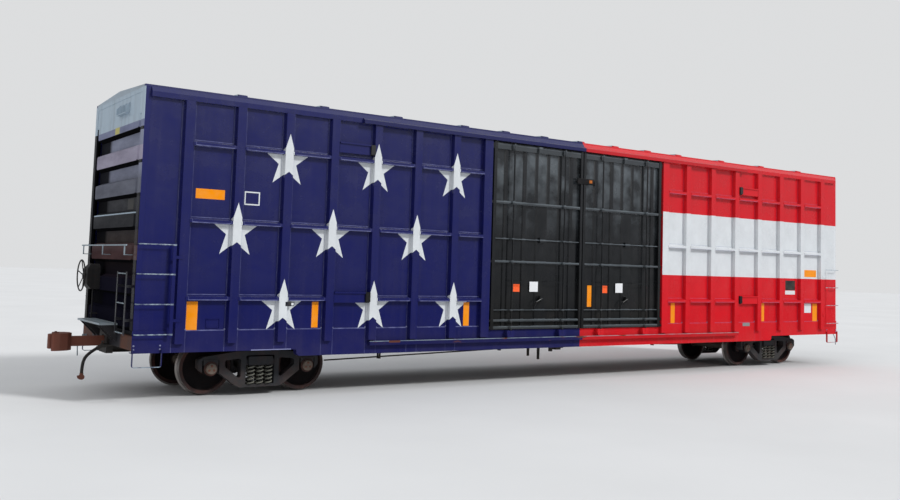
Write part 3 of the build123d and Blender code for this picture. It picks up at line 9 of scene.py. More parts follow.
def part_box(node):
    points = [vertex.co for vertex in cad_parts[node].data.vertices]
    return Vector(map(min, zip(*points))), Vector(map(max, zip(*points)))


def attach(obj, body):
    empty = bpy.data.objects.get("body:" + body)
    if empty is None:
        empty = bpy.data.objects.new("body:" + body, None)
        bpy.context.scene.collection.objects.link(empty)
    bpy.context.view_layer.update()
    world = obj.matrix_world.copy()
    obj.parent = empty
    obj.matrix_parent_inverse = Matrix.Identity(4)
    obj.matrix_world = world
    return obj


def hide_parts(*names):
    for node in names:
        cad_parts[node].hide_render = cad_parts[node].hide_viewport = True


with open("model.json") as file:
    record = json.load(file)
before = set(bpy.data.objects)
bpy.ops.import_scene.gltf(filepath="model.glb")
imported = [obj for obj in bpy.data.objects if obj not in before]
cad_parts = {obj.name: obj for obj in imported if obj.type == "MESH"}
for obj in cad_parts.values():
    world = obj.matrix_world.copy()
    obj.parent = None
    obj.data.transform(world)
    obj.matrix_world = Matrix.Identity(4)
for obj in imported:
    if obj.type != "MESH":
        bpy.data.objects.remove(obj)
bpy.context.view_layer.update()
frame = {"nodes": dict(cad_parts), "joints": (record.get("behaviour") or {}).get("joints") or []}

bl_info = {
    "name": "Railroad Boxcar Finish",
    "version": (1, 0, 0),
    "blender": (4, 5, 0),
    "location": "3D View > Sidebar > Boxcar",
    "description": "Paint, springs, air hoses, plates, bolts and studio for a double plug door boxcar",
    "category": "Object",
}

# Places in metres: those of the packed frame, the rail head's z and the planes that plates stand on
NODES = frame["nodes"]
JOINTS = {joint["name"]: joint for joint in frame["joints"]}
HALF_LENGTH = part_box("side_sills")[1].x
SHEET_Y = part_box("side_sheets")[1].y
TRUCK_X = JOINTS["truck_a_swivel"]["pos_m"][0]
AXLE_Z = JOINTS["wheelset_a_outer_roll"]["pos_m"][2]
WHEELSETS = ("b_outer", "b_inner", "a_outer", "a_inner")
ENDS = ((-1, "b"), (1, "a"))
SIDES = ((-1, "near"), (1, "far"))
RAIL = 0.0254
SILL_FACE_Y = SHEET_Y + 0.0123
POST_Y = SHEET_Y + 0.081
DOOR_FACE_Y = SHEET_Y - 0.008
CARD_Y = DOOR_FACE_Y + 0.0245
LATCH_Y = SHEET_Y + 0.062
GASKET_Y = SHEET_Y - 0.050

# Posts and stiffeners of the sides: places along the side, heights above the rail head, reaches from a middle
FIRST_POST = 3.350
POST_PITCH = 0.8867
POST_COUNT = 7
POST_REACH = 0.084
# Band along each post's flange where a pale painted highlight goes, partly wear
POST_FLANGE = (0.108, 0.118)
DOOR_POST_X = 2.674
LAST_POST_X = 8.788
STIFFENER_HEIGHTS = (1.665, 2.924, 4.186)
STIFFENER_REACH = 0.042
# Bands at the stiffeners' edges and at the seam over the sill where pale painted highlights go, partly wear
STIFFENER_HIGHLIGHTS = ((-0.041, -0.024), (0.049, 0.061))
SEAM_HIGHLIGHT_HEIGHTS = (1.128, 1.146)

# Painted pattern of the sides: where the two halves meet, and heights above the rail head
# A star's fold is a tenth of a turn, and its notch is the notches' radius as a share of the tips'
PAINT_SPLIT_X = 0.02
STRIPE_HEIGHTS = (2.254, 3.710)
STRIPE_START = 2.476
STAR_ROWS = (
    # middle height, place of one star's middle, lowest and highest x of the row
    (4.032, -5.1235, -7.6, -2.6),
    (2.777, -6.0102, -8.4, -3.5),
    (1.519, -5.1235, -7.6, -2.6),
)
STAR_HALF_WIDTH = 0.452
STAR_HALF_HEIGHT = 0.478
STAR_FOLD = math.pi / 5
STAR_NOTCH = 0.381966
SHEEN_Z = (1.2, 4.8)

# Ladders and steps: heights above the rail head of the rubbed parts, which on the side ladders' rungs are
# partly a painted highlight, half their height, and the stiles' y
RUNG_HEIGHTS = (1.082, 1.558, 2.034, 2.507)
RUNG_HALF = 0.013
STEP_HEIGHTS = (0.570,)
STEP_HALF = 0.012
LADDER_STILES = (0.908, 1.342)

# Doors, their tracks and their stops: heights are above the rail head
DOOR_RAIL_HIGHLIGHTS = (
    # lowest and highest height of the painted highlight on the upper part of each door rail, and the rail's
    # lower edge
    (4.795, 4.832, 4.700), (3.628, 3.664, 3.588), (2.888, 2.911, 2.873), (2.426, 2.460, 2.398),
    (1.452, 1.472, 1.438), (1.247, 1.277, 1.213), (1.112, 1.140, 1.068),
)
DOOR_RAIL_SPAN = (0.080, 2.350)
DOOR_RAIL_Y = SHEET_Y + 0.012
DOOR_FOOT_HEIGHT = 1.048
# Heights over which a painted reflection of the sky lightens the upper door panels
DOOR_REFLECTION_HEIGHTS = (2.9, 4.7)
LEDGE_EDGE_HEIGHTS = (0.892, 0.910)
LOWER_TRACK_Z = 2.0
SCRAPE_X = (-4.777, -4.535)
SCRAPE_HEIGHTS = (0.868, 0.912)
STOP_PAD_X = FIRST_POST + 2 * POST_PITCH + 0.174

# End walls, corner posts, roof, platforms and floor: heights are above the rail head
# The ribs' undersides, painted black as shade, are told by the z of a face's normal
SILVER_HEIGHT = 4.500
END_COLOUR_Z = (1.0, 5.0)
END_GLOSS_Z = (2.4, 4.8)
END_SWAP_X = (-0.01, 0.01)
END_BLACK_Y = (0.62, 0.78)
# Heights of a painted highlight along the top edge of one rib's crest
END_HIGHLIGHT_HEIGHTS = (2.998, 3.022)
RIB_FACE_X = (HALF_LENGTH - 0.094, HALF_LENGTH - 0.084)
RIB_UNDERSIDE = (-0.35, -0.55)
RIB_TOP = 4.505
RIB_PITCH = 0.535
RIB_CREST_HALF = 0.118
RIB_ROOT_HALF = 0.172
CORNER_END_X = HALF_LENGTH - 0.010
# Faces nearer the middle than this lie inside the corner post's angle and get black painted shade
CORNER_INNER_Y = SHEET_Y - 0.012
ROOF_EDGE_Y = SHEET_Y - 0.080
BRACKET_HEIGHT = 1.181
END_SILL_RUST_Y = (0.84, 0.92)
FLOOR_END_X = HALF_LENGTH - 0.300

# Radii of a wheelset's plates, cap and tread
PLATE_RADII = (0.120, 0.388)
CAP_RADIUS = 0.092
TREAD_RADII = (0.449, 0.4535)

# Spring nests: outer radius, spacing along and across the truck, the frames' distance from the middle, and the
# angle that neighbouring faces may turn by and still shade smoothly
SPRING_RADIUS = 0.066
SPRING_PITCH = 0.164
SPRING_DEPTH = 0.069
JOURNAL_Y = 1.0033
SMOOTH_ANGLE = math.radians(60.0)

# Bolt heads: the profile in shares of the radius and of the rise, and the body bolts' rise as a share of their
# radius
BOLT_PROFILE = ((1.0, 0.0), (1.0, 0.5), (0.72, 0.86), (0.05, 1.0))
BOLT_SIDES = 8
BOLT_RISE = 0.7
BOLT_GAP = 0.0002
CAP_BOLT_CIRCLE = 0.048
CAP_BOLT_RADIUS = 0.019
CAP_BOLT_RISE = 0.012
CAP_BOLT_TURNS = (90, 210, 330)
SEAM_BOLT_HEIGHT = 1.150
SEAM_BOLT_OFFSETS = (-0.112, 0.112)
STEP_BOLT_INSETS = (0.028, 0.444)
STEP_BOLT_HEIGHTS = (0.848, 0.905)

# Air hoses: the angle cock's mouth, outward from the body's end, in y and in z, and the route from there
HOSE_MOUTH = (0.20227, 0.285, 0.7979)
HOSE_ROUTE = (
    # outward from the mouth, above the mouth
    (0.0, 0.0),
    (0.13856, -0.08),
    (0.22106, -0.22289),
    (0.22106, -0.39789),
)

# Plates: their gap from the surface, how far the holder and the latch stand out, the gaskets' thickness, and
# the faces between a plate's eight points
PLATE_GAP = 0.0004
HOLDER_DEPTH = 0.012
LATCH_DEPTH = 0.020
GASKET_DEPTH = 0.036
PLATE_FACES = ((0, 1, 5, 4), (1, 2, 6, 5), (2, 3, 7, 6), (3, 0, 4, 7), (4, 5, 6, 7), (3, 2, 1, 0))

# Noise: its scale, detail and roughness
PLAIN_ROUGHNESS = 0.55
DUST_NOISE = (1.6, 5.0, PLAIN_ROUGHNESS)
STREAK_NOISE = (1.0, 5.0, 0.6)
SPECK_NOISE = (38.0, 3.0, 0.6)
PANEL_NOISE = (2.2, 2.0, 0.5)
EDGE_NOISE = (7.0, 5.0, 0.6)
RUNG_NOISE = (14.0, 4.0, PLAIN_ROUGHNESS)
MOTTLE_NOISE = (3.0, 4.0, PLAIN_ROUGHNESS)
LEDGE_NOISE = (5.0, 5.0, PLAIN_ROUGHNESS)
SCAR_NOISE = (2.3, 5.0, PLAIN_ROUGHNESS)
DOOR_NOISE = (2.4, 5.0, PLAIN_ROUGHNESS)
RIPPLE_NOISE = (1.5, 2.0, PLAIN_ROUGHNESS)
SOOT_NOISE = (1.5, 6.0, 0.65)
ROOF_NOISE = (1.4, 6.0, 0.6)
STEEL_NOISE = (6.0, 5.0, PLAIN_ROUGHNESS)
WOOD_NOISE = (1.5, 6.0, 0.6)
COAT_NOISE = (4.0, 5.0, PLAIN_ROUGHNESS)
SHEETING_NOISE = (9.0, 3.0, PLAIN_ROUGHNESS)
STUDIO_NOISE = (0.25, 3.0, PLAIN_ROUGHNESS)

# How noise is drawn out along X, Y and Z
STREAK_STRETCH = (9.0, 9.0, 0.5)
SCAR_STRETCH = (1.0, 1.0, 4.0)
RIPPLE_STRETCH = (1.6, 1.0, 0.7)
SOOT_STRETCH = (1.0, 0.7, 3.0)
WOOD_STRETCH = (14.0, 0.8, 6.0)

# Ranges of noise that stains and changes of gloss are spread over
MIDDLE = (0.3, 0.7)
WIDE = (0.35, 0.75)
HIGH = (0.35, 0.7)
PATCHY = (0.35, 0.6)
SCARCE = (0.62, 0.7)

# Fine relief: scale and detail of its noise, its depth in metres and its strength
PEEL = (60.0, 2.0, 0.0004, 0.3)
STEEL_GRAIN = (45.0, 3.0, 0.0008, 0.5)
TRACK_GRAIN = (30.0, 3.0, 0.0008, 0.4)
STOP_GRAIN = (40.0, 3.0, 0.0006, 0.4)
END_SWELL = (2.5, 3.0, 0.01, 0.6)

# Dust: the z where it is thickest, the z where it ends, and its share
LIVERY_DUST = (0.5, 1.4, 0.12)
TRACK_DUST = (0.6, 1.3, 0.10)
STOP_DUST = (0.5, 1.5, 0.10)
DOOR_DUST = (0.8, 2.2, 0.08)
CORNER_DUST = (0.6, 1.6, 0.15)
PLATFORM_DUST = (0.4, 2.0, 0.15)
RAILING_DUST = (0.4, 2.0, 0.25)
UNDERFRAME_DUST = (0.3, 1.3, 0.35)
HOSE_DUST = (0.2, 0.9, 0.25)
TRIM_DUST = (0.8, 2.0, 0.10)
BOLT_DUST = (0.8, 1.4, 0.10)
CAST_DUST_Z = (0.1, 0.9)

# Studio: directions that the lamps shine from, the angles of their discs in degrees, how far up the walls'
# tones change, the tones, and the floor's disc
KEY_FROM, KEY_DISC = (0.45, -0.66, 0.60), 9.0
FILL_FROM, FILL_DISC = (-0.80, -0.35, 0.50), 50.0
WALL_RANGE = (0.02, 0.75)
HORIZON_TONE = (0.30, 0.31, 0.34, 1.0)
OVERHEAD_TONE = (0.96, 0.98, 1.0, 1.0)
BACKDROP_TONE = (0.90, 0.91, 0.92, 1.0)
FLOOR_TONES = ((0.66, 0.665, 0.67, 1.0), (0.70, 0.705, 0.71, 1.0))
FLOOR_RADIUS = 160.0
FLOOR_CORNERS = 96
SENSOR_WIDTH = 36.0

# Colours up the end wall: share of the way up END_COLOUR_Z, and the colour as written
# The crests have the colour of their setting over the pale span
# The pale upper tones of the hollows and the crests are a painted reflection of the sky on the dark navy,
# mixed with weathered paint
HOLLOW_STOPS = (
    (0.0, 15, 15, 24), (0.20, 17, 16, 27), (0.30, 30, 26, 28), (0.41, 48, 39, 37), (0.50, 36, 36, 40),
    (0.60, 48, 49, 54), (0.68, 122, 126, 146), (1.0, 144, 150, 174),
)
CREST_STOPS = (
    (0.0, 20, 20, 30), (0.24, 24, 23, 34), (0.31, 76, 57, 57), (0.39, 80, 62, 63), (0.44, 32, 33, 37),
    (0.52, 34, 35, 38), (0.58, 94, 97, 110), (0.66, 100, 103, 116), (0.86, 120, 126, 156),
    (1.0, 124, 130, 158),
)
PALE_CREST_SPAN = (0.72, 0.80)


def as_linear(red, green, blue):
    """Linear light from a colour written as it looks, 0 to 255 for each part: the sRGB curve."""
    written = np.array((red, green, blue)) / 255.0
    low = written / 12.92
    high = ((written + 0.055) / 1.055) ** 2.4
    return tuple(float(part) for part in np.where(written <= 0.04045, low, high)) + (1.0,)


# Colours that no setting changes
BLACK = (0.006, 0.006, 0.007, 1.0)
SOOT = as_linear(14, 14, 22)
SILL_BROWN = as_linear(84, 46, 28)
SPRING_GREY = as_linear(104, 104, 96)
BOLT_BLUE = as_linear(128, 132, 168)
SQUARE_ORANGE = as_linear(255, 96, 40)
CARD_WHITE = as_linear(225, 227, 230)
PLATE_BLACK = as_linear(30, 30, 34)
PLATE_GREY = as_linear(130, 132, 134)
LATCH_ORANGE = as_linear(170, 92, 30)
TAG_BLACK = as_linear(26, 28, 40)
SHEETING_FADE = (0.8, 0.72, 0.5, 1.0)


def colour_setting(name, description, default):
    return bpy.props.FloatVectorProperty(name=name, description=description, default=default, size=4, min=0.0,
                                         max=1.0, subtype="COLOR")


def length_setting(name, description, default):
    return bpy.props.FloatProperty(name=name, description=description, default=default, min=0.0,
                                   unit="LENGTH", subtype="DISTANCE", precision=4)


def number_setting(name, description, default, **more):
    return bpy.props.FloatProperty(name=name, description=description, default=default, **more)


class BoxcarPaint(bpy.types.PropertyGroup):
    """Colours of the paint and the bare metals."""

    navy: colour_setting("Navy", "Blue half of the sides", as_linear(21, 25, 84))
    red: colour_setting("Red", "Red half of the sides", as_linear(206, 22, 34))
    white: colour_setting("White", "Stars and stripe", as_linear(214, 218, 221))
    door: colour_setting("Door black", "Plug doors and their gear", as_linear(20, 22, 24))
    end: colour_setting("End navy", "Dark parts of the end walls", as_linear(16, 16, 25))
    # The crests' pale colour is partly a painted reflection of the sky, partly weathering
    crest: colour_setting("End crests", "Weathered crests of the end ribs", as_linear(154, 148, 168))
    silver: colour_setting("Silver", "Roof and the top panel of the ends", as_linear(170, 186, 199))
    # Pale tone of the painted highlights along the edges of posts and stiffeners, partly wear, and of the bare
    # sill edge
    edge: colour_setting("Worn edges", "Rubbed edges of posts and stiffeners", as_linear(128, 132, 176))
    # Pale tone of the painted highlights on the door rails and of the painted reflection on the upper door
    # panels
    rail: colour_setting("Door rails", "Rubbed rails of the doors", as_linear(92, 99, 104))
    frame_black: colour_setting("Underframe black", "Underframe and brake gear", as_linear(38, 37, 38))
    cast: colour_setting("Truck castings", "Side frames and bolsters", as_linear(40, 42, 46))
    rust: colour_setting("Rust", "Rust on castings, wheels and couplers", as_linear(106, 62, 50))
    dust: colour_setting("Dust", "Road dust", as_linear(128, 118, 106))
    steel: colour_setting("Bright steel", "Wheel treads and rubbed edges", as_linear(176, 172, 168))
    galvanised: colour_setting("Galvanised", "Platforms and handrails", as_linear(150, 165, 175))
    rubber: colour_setting("Rubber", "Air hoses", as_linear(28, 28, 29))
    amber: colour_setting("Amber", "Reflective strips", as_linear(240, 142, 0))
    yellow: colour_setting("Yellow", "Square on the end", as_linear(184, 176, 100))
    wood: colour_setting("Floor wood", "Floor boards", as_linear(120, 96, 70))


class BoxcarPieces(bpy.types.PropertyGroup):
    """Sizes of the pieces that this script adds."""

    coil_wire: length_setting("Coil wire", "Radius of a spring's wire", 0.0125)
    coil_turns: number_setting("Coil turns", "Turns of each outer spring", 5.5, min=1.0, max=12.0)
    hose_radius: length_setting("Hose radius", "Outer radius of an air hose", 0.026)
    bolt_radius: length_setting("Bolt radius", "Radius of a bolt head on the body", 0.016)
    strip_thickness: length_setting("Strip thickness", "Thickness of a reflective strip or plate", 0.0016)


class BoxcarStage(bpy.types.PropertyGroup):
    """Camera, lamps and studio levels."""

    camera_place: bpy.props.FloatVectorProperty(
        name="Camera place", description="Camera in the car's frame", default=(-13.7447, -16.4935, 2.3133),
        size=3, unit="LENGTH", subtype="XYZ")
    yaw: number_setting("Yaw", "Turn of the view from +Y towards +X", 0.6137, subtype="ANGLE")
    pitch: number_setting("Pitch", "Upward tilt of the view", 0.0752, subtype="ANGLE")
    roll: number_setting("Roll", "Roll of the camera about its view", 0.0299, subtype="ANGLE")
    lens: number_setting("Lens", "Focal length in millimetres on a 36 mm sensor", 37.41, min=1.0)
    shift_x: number_setting("Shift across", "Sideways lens shift", -0.01205)
    shift_y: number_setting("Shift up", "Upward lens shift", -0.05916)
    key_strength: number_setting("Key lamp", "Strength of the key lamp", 1.95, min=0.0)
    fill_strength: number_setting("Fill lamp", "Strength of the fill lamp", 0.42, min=0.0)
    studio_level: number_setting("Studio level", "Brightness of the studio's walls", 0.80, min=0.0, max=1.0)


class Nodes:
    """Short calls that add nodes to one node tree."""

    def __init__(self, tree):
        self.tree = tree

    def add(self, kind, **settings):
        """A new node with its settings."""
        node = self.tree.nodes.new(kind)
        for name, value in settings.items():
            setattr(node, name, value)
        return node

    def put(self, socket, value):
        """Links an output to a socket, or sets the socket's own value."""
        if isinstance(value, bpy.types.NodeSocket):
            self.tree.links.new(value, socket)
        else:
            socket.default_value = value

    def math(self, operation, *values, clamp=False):
        """One arithmetic step."""
        node = self.add("ShaderNodeMath", operation=operation, use_clamp=clamp)
        for socket, value in zip(node.inputs, values):
            self.put(socket, value)
        return node.outputs[0]

    def times(self, first, *others):
        """The product of several values."""
        for other in others:
            first = self.math("MULTIPLY", first, other)
        return first

    def minus(self, first, second):
        """One value less another."""
        return self.math("SUBTRACT", first, second)

    def largest(self, first, *others):
        """The largest of several values."""
        for other in others:
            first = self.math("MAXIMUM", first, other)
        return first

    def size(self, value):
        """A value without its sign."""
        return self.math("ABSOLUTE", value)

    def above(self, value, limit):
        """One where a value is over a limit."""
        return self.math("GREATER_THAN", value, limit)

    def below(self, value, limit):
        """One where a value is under a limit."""
        return self.math("LESS_THAN", value, limit)

    def within(self, value, limits):
        """One where a value lies between two limits."""
        return self.group(band(), Value=value, Low=limits[0], High=limits[1])["Mask"]

    def within_any(self, value, bands):
        """One where a value lies in any of several bands."""
        return self.largest(*[self.within(value, limits) for limits in bands])

    def raised(self, base, share, amount, clamp=False):
        """A value raised by a share of an amount."""
        return self.math("MULTIPLY_ADD", share, amount, base, clamp=clamp)

    def radius(self, across, up):
        """Distance from a middle: the root of the two squares added."""
        return self.math("SQRT", self.math("ADD", self.times(across, across), self.times(up, up)))

    def spread(self, value, source, target=(0.0, 1.0)):
        """A value's source range made the target range, held at its ends."""
        node = self.add("ShaderNodeMapRange")
        for socket, item in zip(node.inputs, (value, *source, *target)):
            self.put(socket, item)
        return node.outputs[0]

    def between(self, share, first, second):
        """A value that goes from one number to another as a share goes from 0 to 1."""
        return self.spread(share, (0.0, 1.0), (first, second))

    def mix(self, share, first, second):
        """A colour between two colours."""
        node = self.add("ShaderNodeMix", data_type="RGBA")
        self.put(node.inputs[0], share)
        self.put(node.inputs[6], first)
        self.put(node.inputs[7], second)
        return node.outputs[2]

    def noise(self, vector, kind):
        """Cloudy noise from 0 to 1, of a scale, detail and roughness."""
        node = self.add("ShaderNodeTexNoise")
        self.put(node.inputs["Vector"], vector)
        for label, value in zip(("Scale", "Detail", "Roughness"), kind):
            self.put(node.inputs[label], value)
        return node.outputs[0]

    def patches(self, vector, kind, source, target=(0.0, 1.0)):
        """Noise with its source range made the target range."""
        return self.spread(self.noise(vector, kind), source, target)

    def stretch(self, vector, scale):
        """Coordinates scaled along each axis."""
        node = self.add("ShaderNodeMapping")
        self.put(node.inputs["Vector"], vector)
        self.put(node.inputs["Scale"], scale)
        return node.outputs[0]

    def ramp(self, value, stops):
        """A colour read from places along a value's range from 0 to 1."""
        node = self.add("ShaderNodeValToRGB")
        for index, (place, colour) in enumerate(stops):
            element = node.color_ramp.elements[index] if index < 2 else node.color_ramp.elements.new(place)
            element.position = place
            element.color = colour
        self.put(node.inputs[0], value)
        return node.outputs[0]

    def axes(self, vector):
        """The three parts of a vector."""
        node = self.add("ShaderNodeSeparateXYZ")
        self.put(node.inputs[0], vector)
        return node.outputs

    def bump(self, height, distance, strength=1.0, normal=None):
        """A bumped normal from a height."""
        node = self.add("ShaderNodeBump")
        node.inputs["Strength"].default_value = strength
        node.inputs["Distance"].default_value = distance
        self.put(node.inputs["Height"], height)
        if normal is not None:
            self.put(node.inputs["Normal"], normal)
        return node.outputs[0]

    def relief(self, vector, kind):
        """A normal roughened by fine noise of a scale, detail, depth and strength."""
        scale, detail, distance, strength = kind
        return self.bump(self.noise(vector, (scale, detail, PLAIN_ROUGHNESS)), distance, strength)

    def group(self, tree, **inputs):
        """A node group with its inputs fed by name."""
        node = self.add("ShaderNodeGroup", node_tree=tree)
        for name, value in inputs.items():
            self.put(node.inputs[name.replace("_", " ")], value)
        return node.outputs


def new_group(name, inputs, outputs):
    """An empty shader node group: its tree, a Nodes helper and the sockets inside. Each socket holds a value,
    apart from the one named Vector."""
    tree = bpy.data.node_groups.new(name, "ShaderNodeTree")
    for in_out, labels in (("INPUT", inputs), ("OUTPUT", outputs)):
        for label in labels:
            kind = "NodeSocketVector" if label == "Vector" else "NodeSocketFloat"
            tree.interface.new_socket(label, in_out=in_out, socket_type=kind)
    nodes = Nodes(tree)
    return tree, nodes, nodes.add("NodeGroupInput").outputs, nodes.add("NodeGroupOutput").inputs


def shared(build):
    """A node group that is built once and found again by its function's name."""
    def find():
        name = build.__name__
        return bpy.data.node_groups.get(name) or build(name)
    find.__doc__ = build.__doc__
    return find


@shared
def weathering(name):
    """Dust, rain streaks and specks: noise near the ground, noise drawn out in Z, and fine noise."""
    tree, nodes, given, out = new_group(name, ("Vector", "Low", "High"), ("Dust", "Streaks", "Specks"))
    vector = given["Vector"]
    fall = nodes.spread(nodes.axes(vector)[2], (given["Low"], given["High"]), (1.0, 0.0))
    cloud = nodes.patches(vector, DUST_NOISE, MIDDLE)
    drawn = nodes.stretch(vector, STREAK_STRETCH)
    nodes.put(out["Dust"], nodes.math("MULTIPLY", fall, cloud, clamp=True))
    nodes.put(out["Streaks"], nodes.patches(drawn, STREAK_NOISE, source=(0.48, 0.72)))
    nodes.put(out["Specks"], nodes.patches(vector, SPECK_NOISE, source=(0.62, 0.74)))
    return tree


@shared
def cast_surface(name):
    """Cast iron: coarse and fine noise added to a height, and a patchy rust mask."""
    tree, nodes, given, out = new_group(name, ("Vector", "Scale"), ("Height", "Rust", "Grain"))
    vector, scale = given["Vector"], given["Scale"]
    coarse = nodes.noise(vector, (scale, 6.0, 0.6))
    fine = nodes.noise(vector, (nodes.times(scale, 7.0), 3.0, 0.7))
    broad = nodes.times(scale, 0.35)
    nodes.put(out["Height"], nodes.raised(coarse, share=fine, amount=0.35))
    nodes.put(out["Rust"], nodes.patches(vector, (broad, 7.0, 0.7), source=(0.45, 0.62)))
    nodes.put(out["Grain"], fine)
    return tree


@shared
def star(name):
    """Five-pointed star: the angle about the middle is folded into a tenth of a turn, and the point is inside
    when it lies on the middle's side of the line from a tip to a notch."""
    tree, nodes, given, out = new_group(name, ("X", "Z", "Middle Z", "Half Width", "Half Height"), ("Mask",))
    across = nodes.math("DIVIDE", given["X"], given["Half Width"])
    up = nodes.math("DIVIDE", nodes.minus(given["Z"], given["Middle Z"]), given["Half Height"])
    angle = nodes.math("ARCTAN2", across, up)
    folded = nodes.size(nodes.math("WRAP", angle, STAR_FOLD, -STAR_FOLD))
    radius = nodes.radius(across, up)
    along = nodes.times(radius, nodes.math("COSINE", folded))
    aside = nodes.times(radius, nodes.math("SINE", folded))
    left = nodes.times(aside, STAR_NOTCH * math.cos(STAR_FOLD) - 1.0)
    right = nodes.times(nodes.minus(along, 1.0), STAR_NOTCH * math.sin(STAR_FOLD))
    nodes.put(out["Mask"], nodes.above(nodes.minus(left, right), 0.0))
    return tree


@shared
def band(name):
    """One where a value lies between two limits, and nought elsewhere."""
    tree, nodes, given, out = new_group(name, ("Value", "Low", "High"), ("Mask",))
    over = nodes.above(given["Value"], given["Low"])
    under = nodes.below(given["Value"], given["High"])
    nodes.put(out["Mask"], nodes.times(over, under))
    return tree


@shared
def dished_panel(name):
    """Sheet between posts and stiffeners, pulled in by its welds: the product of two squared sines across and
    up each panel, with slow noise added."""
    tree, nodes, given, out = new_group(name, ("Vector",), ("Height",))
    x, _, z = nodes.axes(given["Vector"])
    step = (STIFFENER_HEIGHTS[2] - STIFFENER_HEIGHTS[0]) / 2
    across = nodes.times(nodes.minus(nodes.size(x), FIRST_POST), math.pi / POST_PITCH)
    across = nodes.math("SINE", across)
    up = nodes.math("SINE", nodes.times(nodes.minus(z, RAIL + STIFFENER_HEIGHTS[0]), math.pi / step))
    dish = nodes.times(nodes.times(across, across), nodes.times(up, up))
    slow = nodes.noise(given["Vector"], PANEL_NOISE)
    nodes.put(out["Height"], nodes.math("ADD", nodes.times(dish, 0.7), slow))
    return tree


def surface(colour, roughness, normal=None, gloss=None, metal=None):
    """What feeds the shader's sockets, by their names."""
    fed = {"Base Color": colour, "Roughness": roughness, "Normal": normal, "Specular IOR Level": gloss,
           "Metallic": metal}
    return {socket: value for socket, value in fed.items() if value is not None}


def material(build):
    """A maker of materials from a function that adds the nodes and gives what feeds the shader. The function
    gets a Nodes helper and Object coordinates, which are metres in the car's frame."""
    def make(name, *settings, **more):
        made = bpy.data.materials.new(name)
        made.use_nodes = True
        made.node_tree.nodes.clear()
        nodes = Nodes(made.node_tree)
        shader = nodes.add("ShaderNodeBsdfPrincipled")
        nodes.put(nodes.add("ShaderNodeOutputMaterial").inputs[0], shader.outputs[0])
        vector = nodes.add("ShaderNodeTexCoord").outputs["Object"]
        for socket, value in build(nodes, vector, *settings, **more).items():
            nodes.put(shader.inputs[socket], value)
        return made
    make.__doc__ = build.__doc__
    return make


def dusted(nodes, vector, colour, paint, dust):
    """A colour with dust near the ground and faint streaks: the colour and the dust mask."""
    low, high, amount = dust
    marks = nodes.group(weathering(), Vector=vector, Low=low, High=high)
    share = nodes.math("MULTIPLY", marks["Dust"], amount, clamp=True)
    share = nodes.raised(share, marks["Streaks"], amount * 0.18, clamp=True)
    return nodes.mix(share, colour, paint.dust), share


def halves(nodes, x, paint):
    """Navy on the B half and red on the A half: the colour, and the mask of the A half."""
    half = nodes.above(x, PAINT_SPLIT_X)
    return nodes.mix(half, paint.navy, paint.red), half


def from_post(nodes, x):
    """Distance along the side from the middle of the nearest post."""
    along = nodes.minus(nodes.size(x), FIRST_POST)
    return nodes.size(nodes.math("WRAP", along, POST_PITCH / 2, -POST_PITCH / 2))


def across_end(nodes, x, y):
    """Y as it is seen from outside each end: kept at the B end and turned over at the A end."""
    return nodes.times(y, nodes.spread(x, END_SWAP_X, (1.0, -1.0)))


def livery_mask(nodes, x, height):
    """One where a star or the stripe lies, seen square on to the side."""
    off_post = nodes.above(from_post(nodes, x), POST_REACH)
    marks = [nodes.times(nodes.within(height, STRIPE_HEIGHTS), nodes.above(x, STRIPE_START))]
    for (middle, column, *row), crossing in zip(STAR_ROWS, reversed(STIFFENER_HEIGHTS)):
        across = nodes.math("WRAP", nodes.minus(x, column), POST_PITCH, -POST_PITCH)
        shape = nodes.group(star(), X=across, Z=height, Middle_Z=middle, Half_Width=STAR_HALF_WIDTH,
                            Half_Height=STAR_HALF_HEIGHT)["Mask"]
        bar = nodes.within(height, (crossing - STIFFENER_REACH, crossing + STIFFENER_REACH))
        unpainted = nodes.times(bar, off_post)
        marks.append(nodes.times(shape, nodes.within(x, row), nodes.minus(1.0, unpainted)))
    return nodes.largest(*marks)


def edge_mask(nodes, vector, x, height):
    """Rubbed edges on the side: along the post flanges, the stiffeners' edges and the seam over the sill."""
    away = from_post(nodes, x)
    edges = [(middle + low, middle + high) for middle in STIFFENER_HEIGHTS for low, high in STIFFENER_HIGHLIGHTS]
    highlight_lines = nodes.times(nodes.within_any(height, [*edges, SEAM_HIGHLIGHT_HEIGHTS]), nodes.above(away, POST_FLANGE[1]))
    # Pale painted highlights, partly wear: the flange lines at half strength and the other lines in full
    worn = nodes.largest(nodes.times(nodes.within(away, POST_FLANGE), 0.5), highlight_lines)
    return nodes.times(worn, nodes.patches(vector, EDGE_NOISE, source=(0.3, 0.6), target=(0.25, 0.8)))


def sheen(nodes, z, low, high):
    """Gloss of the side paint: dulled by dust near the sill and clean under the eaves."""
    return nodes.spread(z, SHEEN_Z, (low, high))


